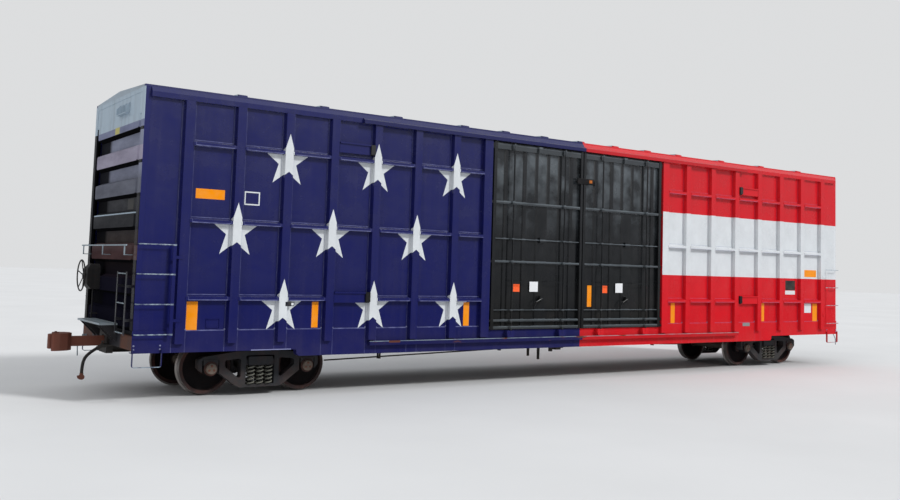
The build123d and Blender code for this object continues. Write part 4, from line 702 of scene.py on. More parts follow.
@material
def livery_material(nodes, vector, paint, dished=False, edges=False, worn_and_highlight_heights=(), worn_and_highlight_half=RUNG_HALF):
    """Glossy side paint: navy with stars on the B half, red with a white stripe on the A half. Where boots
    and hands rub, bands of height broken up by noise show bare metal."""
    x, _, z = nodes.axes(vector)
    height = nodes.minus(z, RAIL)
    colour, half = halves(nodes, x, paint)
    colour = nodes.mix(livery_mask(nodes, x, height), colour, paint.white)
    mottle = nodes.noise(vector, MOTTLE_NOISE)
    colour = nodes.mix(nodes.spread(mottle, WIDE, (0.0, 0.12)), colour, paint.frame_black)
    colour, dust = dusted(nodes, vector, colour, paint, LIVERY_DUST)
    # Pale painted highlights, partly wear, along the post flanges, the stiffeners' edges and the sill seam
    if dished or edges:
        reach = nodes.within(nodes.size(x), (DOOR_POST_X, LAST_POST_X))
        share = nodes.times(edge_mask(nodes, vector, x, height), reach, nodes.between(half, 0.75, 0.35))
        colour = nodes.mix(share, colour, paint.edge)
    # Pale bands: worn metal on the steps, and on the rungs partly a painted highlight
    if worn_and_highlight_heights:
        bands = [(middle - worn_and_highlight_half, middle + worn_and_highlight_half) for middle in worn_and_highlight_heights]
        rubbed = nodes.times(nodes.within_any(height, bands),
                             nodes.patches(vector, RUNG_NOISE, PATCHY, (0.1, 0.9)))
        colour = nodes.mix(rubbed, colour, paint.galvanised)
    normal = nodes.relief(vector, PEEL)
    if dished:
        dish = nodes.group(dished_panel(), Vector=vector)["Height"]
        normal = nodes.bump(dish, distance=0.016, normal=normal)
    roughness = nodes.raised(nodes.spread(mottle, MIDDLE, (0.2, 0.3)), dust, 0.5)
    return surface(colour, roughness, normal, gloss=sheen(nodes, z, 0.06, 0.62))


@material
def track_material(nodes, vector, paint):
    """Side paint on the tracks, with the lower ledge's upper edge rubbed grey and a rusty patch on it."""
    x, _, z = nodes.axes(vector)
    height = nodes.minus(z, RAIL)
    wear = nodes.patches(vector, LEDGE_NOISE, source=(0.3, 0.55), target=(0.25, 0.9))
    rubbed = nodes.times(nodes.within(height, LEDGE_EDGE_HEIGHTS), wear)
    colour = nodes.mix(rubbed, halves(nodes, x, paint)[0], paint.galvanised)
    patch = nodes.patches(nodes.stretch(vector, SCAR_STRETCH), SCAR_NOISE, SCARCE)
    scrape = nodes.times(nodes.within(x, SCRAPE_X), nodes.within(height, SCRAPE_HEIGHTS))
    rusty = nodes.times(nodes.below(z, LOWER_TRACK_Z), nodes.largest(patch, scrape))
    colour = nodes.mix(rusty, colour, paint.rust)
    colour = dusted(nodes, vector, colour, paint, TRACK_DUST)[0]
    colour = nodes.mix(0.22, colour, BLACK)
    return surface(colour, nodes.raised(0.3, rubbed, 0.3), nodes.relief(vector, TRACK_GRAIN),
                   gloss=sheen(nodes, z, 0.06, 0.5))


@material
def stop_material(nodes, vector, paint):
    """Side paint on the door stops, with a black rubbing pad at the end towards the door."""
    x, _, z = nodes.axes(vector)
    pad = nodes.below(nodes.size(x), STOP_PAD_X)
    colour = nodes.mix(pad, halves(nodes, x, paint)[0], paint.rubber)
    colour = dusted(nodes, vector, colour, paint, STOP_DUST)[0]
    return surface(colour, nodes.between(pad, 0.28, 0.7), nodes.relief(vector, STOP_GRAIN),
                   gloss=sheen(nodes, z, 0.06, 0.5))


@material
def door_material(nodes, vector, paint):
    """Glossy black door paint: slow ripples, rubbed rails, dull dust on the lower part and faint streaks."""
    x, y, z = nodes.axes(vector)
    height = nodes.minus(z, RAIL)
    x_size, y_size = nodes.size(x), nodes.size(y)
    cloud = nodes.noise(vector, DOOR_NOISE)
    colour = nodes.mix(nodes.spread(cloud, (0.4, 0.8), (0.0, 0.25)), paint.door, paint.end)
    # Painted highlights: the rails' faces a little lighter, and their upper parts pale in patches
    rails = nodes.within_any(height, [(low, high) for low, high, _ in DOOR_RAIL_HIGHLIGHTS])
    faces = nodes.within_any(height, [(bottom, high) for _, high, bottom in DOOR_RAIL_HIGHLIGHTS])
    clear = nodes.times(nodes.above(y_size, DOOR_RAIL_Y), nodes.within(x_size, DOOR_RAIL_SPAN))
    colour = nodes.mix(nodes.times(faces, clear, 0.30), colour, paint.rail)
    # The pale rail tops are a painted highlight, broken up by noise
    rubbed = nodes.times(rails, clear, nodes.spread(cloud, (0.3, 0.65), (0.35, 1.0)))
    colour = nodes.mix(rubbed, colour, paint.rail)
    # Painted reflection of the sky: the upper panels lightened in clouds
    painted_reflection = nodes.times(nodes.spread(height, DOOR_REFLECTION_HEIGHTS),
                        nodes.spread(cloud, (0.42, 0.62), (0.10, 0.85)), nodes.below(y_size, SHEET_Y))
    colour = nodes.mix(painted_reflection, colour, paint.rail)
    colour = nodes.mix(nodes.below(height, DOOR_FOOT_HEIGHT), colour, halves(nodes, x, paint)[0])
    colour, dust = dusted(nodes, vector, colour, paint, DOOR_DUST)
    roughness = nodes.raised(nodes.spread(cloud, MIDDLE, (0.16, 0.28)), dust, 0.6)
    ripple = nodes.noise(nodes.stretch(vector, RIPPLE_STRETCH), RIPPLE_NOISE)
    return surface(colour, roughness, nodes.bump(ripple, distance=0.02, strength=0.8),
                   gloss=sheen(nodes, z, 0.05, 0.9))


def end_tones(nodes, z, paint):
    """Colours of the end wall by height: its hollows and its crests, faded above and sooty below."""
    level = nodes.spread(z, END_COLOUR_Z)
    hollow, crest = [[(place, as_linear(*written)) for place, *written in stops]
                     for stops in (HOLLOW_STOPS, CREST_STOPS)]
    crest += [(place, paint.crest) for place in PALE_CREST_SPAN]
    return nodes.ramp(level, hollow), nodes.ramp(level, sorted(crest, key=lambda stop: stop[0]))


@material
def end_material(nodes, vector, paint):
    """End wall: faded hollows that are black towards one corner, crests of a lavender grey, black undersides
    of the ribs and a silver panel at the top."""
    x, y, z = nodes.axes(vector)
    height = nodes.minus(z, RAIL)
    raised = nodes.spread(nodes.size(x), RIB_FACE_X)
    hollow, crest = end_tones(nodes, z, paint)
    black = nodes.times(nodes.spread(across_end(nodes, x, y), END_BLACK_Y), 0.96)
    colour = nodes.mix(raised, nodes.mix(black, hollow, BLACK), crest)
    # Painted highlight: a silver line along the top edge of one rib's crest
    line = nodes.times(nodes.within(height, END_HIGHLIGHT_HEIGHTS), raised)
    colour = nodes.mix(line, colour, paint.silver)
    soot = nodes.noise(nodes.stretch(vector, SOOT_STRETCH), SOOT_NOISE)
    colour = nodes.mix(nodes.spread(soot, (0.38, 0.72), (0.0, 0.35)), colour, SOOT)
    # Painted shade: faces that look downward, the ribs' undersides, are painted black
    facing = nodes.axes(nodes.add("ShaderNodeTexCoord").outputs["Normal"])[2]
    under = nodes.spread(facing, RIB_UNDERSIDE)
    colour = nodes.mix(under, colour, BLACK)
    top = nodes.above(height, SILVER_HEIGHT)
    colour = nodes.mix(top, colour, paint.silver)
    streaks = nodes.group(weathering(), Vector=vector)["Streaks"]
    colour = nodes.mix(nodes.times(streaks, nodes.between(top, 0.06, 0.28)), colour, paint.frame_black)
    unlit = nodes.largest(under, nodes.times(black, nodes.minus(1.0, raised)))
    gloss = nodes.times(nodes.spread(z, END_GLOSS_Z, (0.0, 0.22)), nodes.minus(1.0, unlit))
    return surface(colour, nodes.spread(soot, MIDDLE, (0.35, 0.55)), nodes.relief(vector, END_SWELL), gloss)


@material
def corner_material(nodes, vector, paint):
    """Corner post: side paint, the end wall's colours carried on to the face that looks endward, with the
    shadow under each rib, and black inside the angle."""
    x, y, z = nodes.axes(vector)
    height = nodes.minus(z, RAIL)
    colour, half = halves(nodes, x, paint)
    colour = nodes.mix(nodes.times(nodes.within(height, STRIPE_HEIGHTS), half), colour, paint.white)
    hollow, crest = end_tones(nodes, z, paint)
    # On the endward face, rib heights take the crest tone, which is partly a painted reflection of the sky,
    # with painted shadow under each rib
    from_rib = nodes.math("WRAP", nodes.minus(height, RIB_TOP), RIB_PITCH / 2, -RIB_PITCH / 2)
    on_rib = nodes.within(from_rib, (-RIB_CREST_HALF, RIB_CREST_HALF))
    shaded = nodes.within(from_rib, (-RIB_ROOT_HALF, -RIB_CREST_HALF))
    wall = nodes.mix(shaded, nodes.mix(on_rib, hollow, crest), BLACK)
    wall = nodes.mix(nodes.above(across_end(nodes, x, y), 0.0), wall, BLACK)
    wall = nodes.mix(nodes.above(height, SILVER_HEIGHT), wall, paint.silver)
    endward = nodes.above(nodes.size(x), CORNER_END_X)
    # Painted shade: the faces inside the angle are black
    inner = nodes.below(nodes.size(y), CORNER_INNER_Y)
    colour = nodes.mix(endward, nodes.mix(inner, colour, BLACK), wall)
    colour, dust = dusted(nodes, vector, colour, paint, CORNER_DUST)
    clear = nodes.minus(1.0, nodes.largest(inner, endward))
    gloss = nodes.times(sheen(nodes, z, 0.08, 0.6), nodes.between(clear, 0.2, 1.0))
    return surface(colour, nodes.raised(0.26, dust, 0.5), nodes.relief(vector, PEEL), gloss)


@material
def ladder_material(nodes, vector, paint):
    """End ladders: dark stiles and rubbed pale rungs, told apart by their places between the stiles."""
    between = nodes.within(nodes.size(nodes.axes(vector)[1]), LADDER_STILES)
    worn = nodes.times(between, nodes.patches(vector, RUNG_NOISE, PATCHY, (0.25, 0.9)))
    return surface(nodes.mix(worn, paint.end, paint.galvanised), nodes.between(worn, 0.45, 0.6),
                   nodes.relief(vector, STEEL_GRAIN))


@material
def roof_material(nodes, vector, paint):
    """Roof: dull silver sheets with dust and rust spots, and side paint on the outer edge of the caps."""
    x, y, _ = nodes.axes(vector)
    specks = nodes.group(weathering(), Vector=vector)["Specks"]
    cloud = nodes.noise(vector, ROOF_NOISE)
    silver = nodes.mix(nodes.spread(cloud, WIDE, (0.0, 0.35)), paint.silver, paint.dust)
    silver = nodes.mix(nodes.times(specks, 0.5), silver, paint.rust)
    edge = nodes.above(nodes.size(y), ROOF_EDGE_Y)
    return surface(nodes.mix(edge, silver, halves(nodes, x, paint)[0]),
                   nodes.spread(cloud, MIDDLE, (0.38, 0.55)),
                   nodes.bump(cloud, distance=0.01, strength=0.5), metal=nodes.between(edge, 0.25, 0.0))


@material
def platform_material(nodes, vector, paint):
    """Crossover platform: galvanised tread over brackets in dark end paint."""
    cloud = nodes.patches(vector, STEEL_NOISE, HIGH, (0.0, 0.35))
    tread = nodes.mix(cloud, paint.galvanised, paint.dust)
    below = nodes.below(nodes.axes(vector)[2], RAIL + BRACKET_HEIGHT)
    colour, dust = dusted(nodes, vector, nodes.mix(below, tread, paint.end), paint, PLATFORM_DUST)
    return surface(colour, nodes.raised(0.45, dust, 0.3), nodes.relief(vector, STEEL_GRAIN),
                   metal=nodes.between(below, 0.3, 0.0))


@material
def sill_material(nodes, vector, paint):
    """End sills: underframe black, rusted brown towards the corner under the ladder."""
    cloud = nodes.noise(vector, STEEL_NOISE)
    aside = nodes.spread(nodes.size(nodes.axes(vector)[1]), END_SILL_RUST_Y)
    rust = nodes.times(aside, nodes.spread(cloud, PATCHY, (0.55, 1.0)))
    return surface(nodes.mix(rust, paint.end, SILL_BROWN), nodes.between(rust, 0.55, 0.8),
                   nodes.bump(cloud, distance=0.001, strength=0.5))


@material
def board_material(nodes, vector, paint):
    """Floor boards: grain drawn out along the boards, with sooty edges where they meet the ends."""
    grain = nodes.noise(nodes.stretch(vector, WOOD_STRETCH), WOOD_NOISE)
    wood = nodes.mix(nodes.spread(grain, HIGH, (0.0, 0.6)), paint.wood, paint.frame_black)
    edge = nodes.above(nodes.size(nodes.axes(vector)[0]), FLOOR_END_X)
    return surface(nodes.mix(edge, wood, paint.end), nodes.spread(grain, MIDDLE, (0.7, 0.85)),
                   nodes.bump(grain, distance=0.002, strength=0.6))


@material
def plain_paint(nodes, vector, paint, colour, dust, roughness, metal=0.0):
    """Painted or plated steel with dust, small chips and a fine grain."""
    cloud = nodes.noise(vector, COAT_NOISE)
    base = nodes.mix(nodes.spread(cloud, WIDE, (0.0, 0.35)), colour, paint.frame_black)
    chips = nodes.group(weathering(), Vector=vector)["Specks"]
    base = nodes.mix(nodes.times(chips, 0.35), base, paint.rust)
    base, share = dusted(nodes, vector, base, paint, dust)
    changing = nodes.spread(cloud, MIDDLE, (roughness - 0.08, roughness + 0.08))
    return surface(base, nodes.raised(changing, share, 0.3), nodes.relief(vector, STEEL_GRAIN), 0.18, metal)


@material
def cast_material(nodes, vector, paint, colour, rust_share, dust_share):
    """Sand-cast iron or steel: grainy, with rust in patches and dust on it."""
    cast = nodes.group(cast_surface(), Vector=vector, Scale=9.0)
    base = nodes.mix(nodes.times(cast["Rust"], rust_share), colour, paint.rust)
    base = dusted(nodes, vector, base, paint, (*CAST_DUST_Z, dust_share))[0]
    return surface(base, nodes.spread(cast["Grain"], MIDDLE, (0.55, 0.85)),
                   nodes.bump(cast["Height"], distance=0.003, strength=0.6), gloss=0.20)


@material
def wheel_material(nodes, vector, paint, axle_x):
    """Wheelset: rusty rims, sooty plates, a bright tread and a dusty grey bearing cap."""
    x, _, z = nodes.axes(vector)
    radius = nodes.radius(nodes.minus(x, axle_x), nodes.minus(z, AXLE_Z))
    cast = nodes.group(cast_surface(), Vector=vector, Scale=7.0)
    tone = nodes.mix(nodes.between(cast["Rust"], 0.25, 0.85), paint.cast, paint.rust)
    tone = nodes.mix(0.42, tone, BLACK)
    plate_share = nodes.times(nodes.above(radius, PLATE_RADII[0]), nodes.below(radius, PLATE_RADII[1]))
    tone = nodes.mix(nodes.times(plate_share, 0.90), tone, BLACK)
    tone = nodes.mix(nodes.times(nodes.below(radius, CAP_RADIUS), 0.55), tone, paint.dust)
    tread = nodes.spread(radius, TREAD_RADII)
    return surface(nodes.mix(nodes.times(tread, 0.55), tone, paint.steel), nodes.between(tread, 0.75, 0.35),
                   nodes.bump(cast["Height"], distance=0.002, strength=0.5),
                   gloss=nodes.between(plate_share, 0.3, 0.08), metal=nodes.times(tread, 0.8))


@material
def strip_material(nodes, vector, colour):
    """Reflective sheeting or a plate's enamel, with a fine cell pattern under its surface."""
    fade = nodes.noise(vector, SHEETING_NOISE)
    cells = nodes.add("ShaderNodeTexVoronoi", feature="F1")
    nodes.put(cells.inputs["Vector"], vector)
    nodes.put(cells.inputs["Scale"], 260.0)
    return surface(nodes.mix(nodes.spread(fade, WIDE, (0.0, 0.06)), colour, SHEETING_FADE),
                   nodes.spread(fade, MIDDLE, (0.3, 0.42)),
                   nodes.bump(cells.outputs[0], distance=0.0004, strength=0.3), gloss=0.15)


@material
def floor_material(nodes, vector):
    """Pale studio floor with a barely seen unevenness."""
    return surface(nodes.mix(nodes.patches(vector, STUDIO_NOISE, MIDDLE), *FLOOR_TONES), roughness=0.9)


def dress(names, finish):
    """Gives CAD nodes a material."""
    for name in names:
        mesh = NODES[name].data
        if not mesh.materials:
            mesh.materials.append(finish)
        for index in range(len(mesh.materials)):
            mesh.materials[index] = finish


def add_mesh(name, points, faces, finish, body, slot):
    """A mesh object from arrays, riding on a body and taking its finish from a slot."""
    mesh = bpy.data.meshes.new(name)
    mesh.from_pydata(points.tolist(), [], faces.tolist())
    mesh.update()
    mesh.materials.append(finish)
    piece = bpy.data.objects.new(name, mesh)
    bpy.context.scene.collection.objects.link(piece)
    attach(piece, body)
    return piece


def smooth(piece):
    """Smooth shading where neighbouring faces turn by less than an angle."""
    piece.data.set_sharp_from_angle(angle=SMOOTH_ANGLE)
    piece.data.polygons.foreach_set("use_smooth", np.ones(len(piece.data.polygons), dtype=bool))
    piece.data.update()


def ring_faces(rows, columns):
    """Quads of a grid of points numbered row by row, closed round its columns."""
    row, column = np.meshgrid(np.arange(rows - 1), np.arange(columns), indexing="ij")
    after = (column + 1) % columns
    corners = (row * columns + column, (row + 1) * columns + column, (row + 1) * columns + after,
               row * columns + after)
    return np.stack(corners, axis=-1).reshape(-1, len(corners))


def copies(points, faces, places):
    """One mesh repeated at many places: points shifted by each place, faces renumbered."""
    moved = (points[None, :, :] + places[:, None, :]).reshape(-1, 3)
    offsets = (np.arange(len(places)) * len(points))[:, None, None]
    return moved, (faces[None, :, :] + offsets).reshape(-1, faces.shape[1])


def turned_to(points, axis):
    """Points made about +Z turned so that +Z becomes the axis."""
    turn = np.array(Vector((0.0, 0.0, 1.0)).rotation_difference(Vector(axis)).to_matrix())
    return points @ turn.T


def bolt_head(radius, height):
    """Domed head: rings of a profile turned about its axis, closed by a small top ring."""
    profile = np.array(BOLT_PROFILE)
    angle = np.arange(BOLT_SIDES) * 2 * math.pi / BOLT_SIDES
    ring = profile[:, 0:1] * radius
    points = np.stack([ring * np.cos(angle), ring * np.sin(angle),
                       np.repeat(profile[:, 1:2] * height, BOLT_SIDES, axis=1)], axis=-1).reshape(-1, 3)
    return points, ring_faces(len(profile), BOLT_SIDES)[:, ::-1]


def add_bolts(name, places, axis, radius, height, finish, body, slot):
    """Bolt heads at many places, all facing one way."""
    points, faces = bolt_head(radius, height)
    points, faces = copies(turned_to(points, axis), faces, np.array(places, dtype=float))
    add_mesh(name, points, faces, finish, body, slot)


def coil(radius, wire, turns, low, high, sides, steps):
    """Spring coil: a circle of the wire's radius carried along a helix whose end half turns lie flat."""
    count = int(turns * steps) + 1
    share = np.linspace(0.0, 1.0, count)
    angle = share * turns * 2 * math.pi
    flat = 0.5 / turns
    rise = np.clip((share - flat) / (1 - 2 * flat), 0.0, 1.0)
    height = low + wire + rise * (high - low - 2 * wire)
    middle = np.stack([radius * np.cos(angle), radius * np.sin(angle), height], axis=-1)
    outward = np.stack([np.cos(angle), np.sin(angle), np.zeros(count)], axis=-1)
    tangent = np.gradient(middle, axis=0)
    tangent /= np.linalg.norm(tangent, axis=1, keepdims=True)
    upward = np.cross(outward, tangent)
    around = np.arange(sides) * 2 * math.pi / sides
    ring = (np.cos(around)[None, :, None] * outward[:, None, :]
            + np.sin(around)[None, :, None] * upward[:, None, :])
    points = (middle[:, None, :] + wire * ring).reshape(-1, 3)
    return points, ring_faces(count, sides)


def plate(x_low, x_high, z_low, z_high, y, thickness, side, bevel=0.5):
    """Thin plate standing on a side surface: its outline at the surface and one drawn in by a share of the
    thickness on top."""
    base = np.array([(x_low, z_low), (x_high, z_low), (x_high, z_high), (x_low, z_high)])
    top = base + thickness * bevel * np.array([(1, 1), (-1, 1), (-1, -1), (1, -1)])
    points = np.vstack([np.column_stack([outline[:, 0], np.full(len(outline), side * out), outline[:, 1]])
                        for outline, out in ((base, y), (top, y + thickness))])
    faces = np.array(PLATE_FACES)
    return points, faces[:, ::-1] if side > 0 else faces


def on_end(points, faces):
    """A plate made for the near side carried to the B end: X and Y change places, so the faces turn over."""
    return points[:, [1, 0, 2]], faces[:, ::-1]


def frame_strips(x_low, x_high, z_low, z_high, width):
    """The four strips of a rectangular outline."""
    return ((x_low, x_low + width, z_low, z_high), (x_high - width, x_high, z_low, z_high),
            (x_low + width, x_high - width, z_low, z_low + width),
            (x_low + width, x_high - width, z_high - width, z_high))


def joined(parts):
    """Several pairs of points and faces as one pair."""
    points, faces, start = [], [], 0
    for part_points, part_faces in parts:
        points.append(part_points)
        faces.append(part_faces + start)
        start += len(part_points)
    return np.vstack(points), np.vstack(faces)


def add_plates(name, table, y, thickness, finish, slot="body_blue", bevel=0.5):
    """Plates on both sides of the car, from a table of their x and their heights above the rail head."""
    points, faces = joined([plate(x0, x1, RAIL + z0, RAIL + z1, y, thickness, side, bevel)
                            for side, _ in SIDES for x0, x1, z0, z1 in table])
    add_mesh(name, points, faces, finish, "car_body", slot)


class BOXCAR_OT_studio(bpy.types.Operator):
    """Camera, lamps, studio walls and floor"""

    bl_idname = "boxcar.studio"
    bl_label = "Studio"

    def execute(self, context):
        stage = context.scene.boxcar_stage
        self.add_camera(context, stage)
        self.add_world(context, stage)
        self.add_lamp(context, "key_lamp", KEY_FROM, stage.key_strength, KEY_DISC)
        self.add_lamp(context, "fill_lamp", FILL_FROM, stage.fill_strength, FILL_DISC)
        self.add_floor(context)
        context.scene.view_settings.view_transform = "Standard"
        return {"FINISHED"}

    def add_camera(self, context, stage):
        """The camera's forward, right and up directions from its yaw, pitch and roll."""
        forward = Vector((math.sin(stage.yaw) * math.cos(stage.pitch),
                          math.cos(stage.yaw) * math.cos(stage.pitch), math.sin(stage.pitch)))
        level = Vector((math.cos(stage.yaw), -math.sin(stage.yaw), 0.0))
        upright = level.cross(forward)
        right = math.cos(stage.roll) * level + math.sin(stage.roll) * upright
        up = math.cos(stage.roll) * upright - math.sin(stage.roll) * level
        turn = Matrix((right, up, -forward)).transposed()
        data = bpy.data.cameras.new("photo_camera")
        data.sensor_width = SENSOR_WIDTH
        data.lens = stage.lens
        data.shift_x = stage.shift_x
        data.shift_y = stage.shift_y
        camera = bpy.data.objects.new("photo_camera", data)
        camera.matrix_world = Matrix.Translation(stage.camera_place) @ turn.to_4x4()
        context.scene.collection.objects.link(camera)
        context.scene.camera = camera

    def add_world(self, context, stage):
        """Studio walls: grey at the horizon and pale overhead, with an even pale backdrop for the camera."""
        world = bpy.data.worlds.new("studio_walls")
        world.use_nodes = True
        world.node_tree.nodes.clear()
        nodes = Nodes(world.node_tree)
        upward = nodes.axes(nodes.add("ShaderNodeTexCoord").outputs["Generated"])[2]
        walls = nodes.mix(nodes.spread(upward, WALL_RANGE), HORIZON_TONE, OVERHEAD_TONE)
        seen = nodes.add("ShaderNodeLightPath").outputs["Is Camera Ray"]
        background = nodes.add("ShaderNodeBackground")
        nodes.put(background.inputs[0], nodes.mix(seen, walls, BACKDROP_TONE))
        background.inputs[1].default_value = stage.studio_level
        nodes.put(nodes.add("ShaderNodeOutputWorld").inputs[0], background.outputs[0])
        context.scene.world = world

    def add_lamp(self, context, name, towards, strength, soft_degrees):
        """A distant lamp that shines from a direction."""
        data = bpy.data.lights.new(name, "SUN")
        data.energy = strength
        data.angle = math.radians(soft_degrees)
        lamp = bpy.data.objects.new(name, data)
        lamp.rotation_mode = "QUATERNION"
        lamp.rotation_quaternion = Vector(towards).to_track_quat("Z", "Y")
        context.scene.collection.objects.link(lamp)

    def add_floor(self, context):
        """A wide disc under the wheels."""
        angle = np.arange(FLOOR_CORNERS) * 2 * math.pi / FLOOR_CORNERS
        points = np.column_stack([FLOOR_RADIUS * np.cos(angle), FLOOR_RADIUS * np.sin(angle),
                                  np.zeros(FLOOR_CORNERS)])
        mesh = bpy.data.meshes.new("studio_floor")
        mesh.from_pydata(points.tolist(), [], [list(range(FLOOR_CORNERS))])
        mesh.materials.append(floor_material("studio_floor"))
        floor = bpy.data.objects.new("studio_floor", mesh)
        context.scene.collection.objects.link(floor)


class BOXCAR_OT_air_hoses(bpy.types.Operator):
    """Air hoses that hang from the angle cocks at the two ends"""

    bl_idname = "boxcar.air_hoses"
    bl_label = "Air hoses"

    def execute(self, context):
        paint = context.scene.boxcar_paint
        radius = context.scene.boxcar_pieces.hose_radius
        rubber = plain_paint("hose_rubber", paint, paint.rubber, HOSE_DUST, roughness=0.62)
        for end, label in ENDS:
            route = [(end * (HALF_LENGTH + HOSE_MOUTH[0] + out), end * HOSE_MOUTH[1], HOSE_MOUTH[2] + up)
                     for out, up in HOSE_ROUTE]
            curve = bpy.data.curves.new("air_hose_line_" + label, "CURVE")
            curve.dimensions = "3D"
            curve.bevel_depth = radius
            curve.bevel_resolution = 5
            curve.resolution_u = 16
            curve.use_fill_caps = True
            spline = curve.splines.new("NURBS")
            spline.points.add(len(route) - 1)
            for point, place in zip(spline.points, route):
                point.co = (*place, 1.0)
            spline.order_u = 3
            spline.use_endpoint_u = True
            curve.materials.append(rubber)
            hose = bpy.data.objects.new("rubber_hose_" + label, curve)
            context.scene.collection.objects.link(hose)
            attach(hose, "car_body")
            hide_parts("air_hose_" + label)
        return {"FINISHED"}


class BOXCAR_OT_body_paint(bpy.types.Operator):
    """Livery paint of the sides, black doors, ends, roof and floor"""

    bl_idname = "boxcar.body_paint"
    bl_label = "Body paint"

    def execute(self, context):
        paint = context.scene.boxcar_paint
        doors = [name for name in NODES if name.startswith(("door_near", "door_far"))]
        # Sheets, posts and sills get pale painted highlights along their edges, partly wear
        dress(["side_sheets"], livery_material("sheet_paint", paint, dished=True))
        dress(["side_posts", "side_sills"], livery_material("post_paint", paint, edges=True))
        dress(["top_chords"], livery_material("chord_paint", paint))
        dress(["corner_posts"], corner_material("corner_paint", paint))
        dress(["roof"], roof_material("roof_paint", paint))
        # Pale bands on the rungs: partly painted highlight, partly wear
        dress(["side_ladders"], livery_material("rung_paint", paint, worn_and_highlight_heights=RUNG_HEIGHTS))
        dress(["sill_steps"],
              livery_material("step_paint", paint, worn_and_highlight_heights=STEP_HEIGHTS, worn_and_highlight_half=STEP_HALF))
        dress(["door_tracks"], track_material("track_paint", paint))
        dress(["door_stops"], stop_material("stop_paint", paint))
        dress(doors + ["door_gear"], door_material("door_paint", paint))
        dress(["end_walls"], end_material("end_paint", paint))
        dress(["end_ladders"], ladder_material("end_ladder_paint", paint))
        dress(["end_handrails", "uncoupling_levers"],
              plain_paint("galvanised_steel", paint, paint.galvanised, RAILING_DUST, roughness=0.45,
                          metal=0.35))
        dress(["end_platforms"], platform_material("platform_steel", paint))
        dress(["floor"], board_material("floor_boards", paint))
        return {"FINISHED"}


class BOXCAR_OT_running_gear(bpy.types.Operator):
    """Finish of the trucks, wheels, underframe, brake gear and couplers"""

    bl_idname = "boxcar.running_gear"
    bl_label = "Running gear finish"

    def execute(self, context):
        paint = context.scene.boxcar_paint
        dress(["end_sills"], sill_material("end_sill_paint", paint))
        dress(["centre_sill", "body_bolsters", "crossbearers", "train_pipe", "brake_cylinder",
               "air_reservoir", "control_valve", "brake_rods", "brake_wheel", "brake_housing"],
              plain_paint("underframe_black", paint, paint.frame_black, UNDERFRAME_DUST, roughness=0.6))
        cast = cast_material("truck_casting", paint, paint.cast, rust_share=0.12, dust_share=0.15)
        for _, label in ENDS:
            dress(["truck_frames_" + label, "truck_bolster_" + label, "brake_beams_" + label], cast)
        dress(["couplers", "glad_hand_b", "glad_hand_a"],
              cast_material("coupler_rust", paint, paint.rust, rust_share=0.6, dust_share=0.2))
        for label in WHEELSETS:
            node = "wheelset_" + label
            axle_x = JOINTS[node + "_roll"]["pos_m"][0]
            dress([node], wheel_material("wheel_steel_" + label, paint, axle_x))
        return {"FINISHED"}


class BOXCAR_OT_springs(bpy.types.Operator):
    """Coil springs of both trucks, in place of the plain spring nests"""

    bl_idname = "boxcar.springs"
    bl_label = "Springs"

    def execute(self, context):
        paint = context.scene.boxcar_paint
        pieces = context.scene.boxcar_pieces
        wire, turns = pieces.coil_wire, pieces.coil_turns
        steel = cast_material("spring_steel", paint, SPRING_GREY, rust_share=0.10, dust_share=0.1)
        dark = cast_material("spring_core", paint, BLACK, rust_share=0.1, dust_share=0.0)
        for end, label in ENDS:
            node = "truck_springs_" + label
            low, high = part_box(node)
            outer = coil(SPRING_RADIUS - wire, wire, turns, low.z, high.z, sides=8, steps=14)
            inner = coil(SPRING_RADIUS * 0.5, wire * 0.6, turns * 1.5, low.z, high.z, sides=6, steps=12)
            places = np.array([(end * TRUCK_X + across * SPRING_PITCH,
                                side * JOURNAL_Y + deep * SPRING_DEPTH, 0.0)
                               for side, _ in SIDES for across in (-1, 0, 1) for deep in (-1, 1)])
            piece = add_mesh("coil_springs_" + label, *copies(*outer, places), steel, "truck_" + label,
                             "truck_black")
            smooth(piece)
            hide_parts(node)
            core = add_mesh("inner_springs_" + label, *copies(*inner, places), dark, "truck_" + label,
                            "truck_black")
            smooth(core)
        return {"FINISHED"}


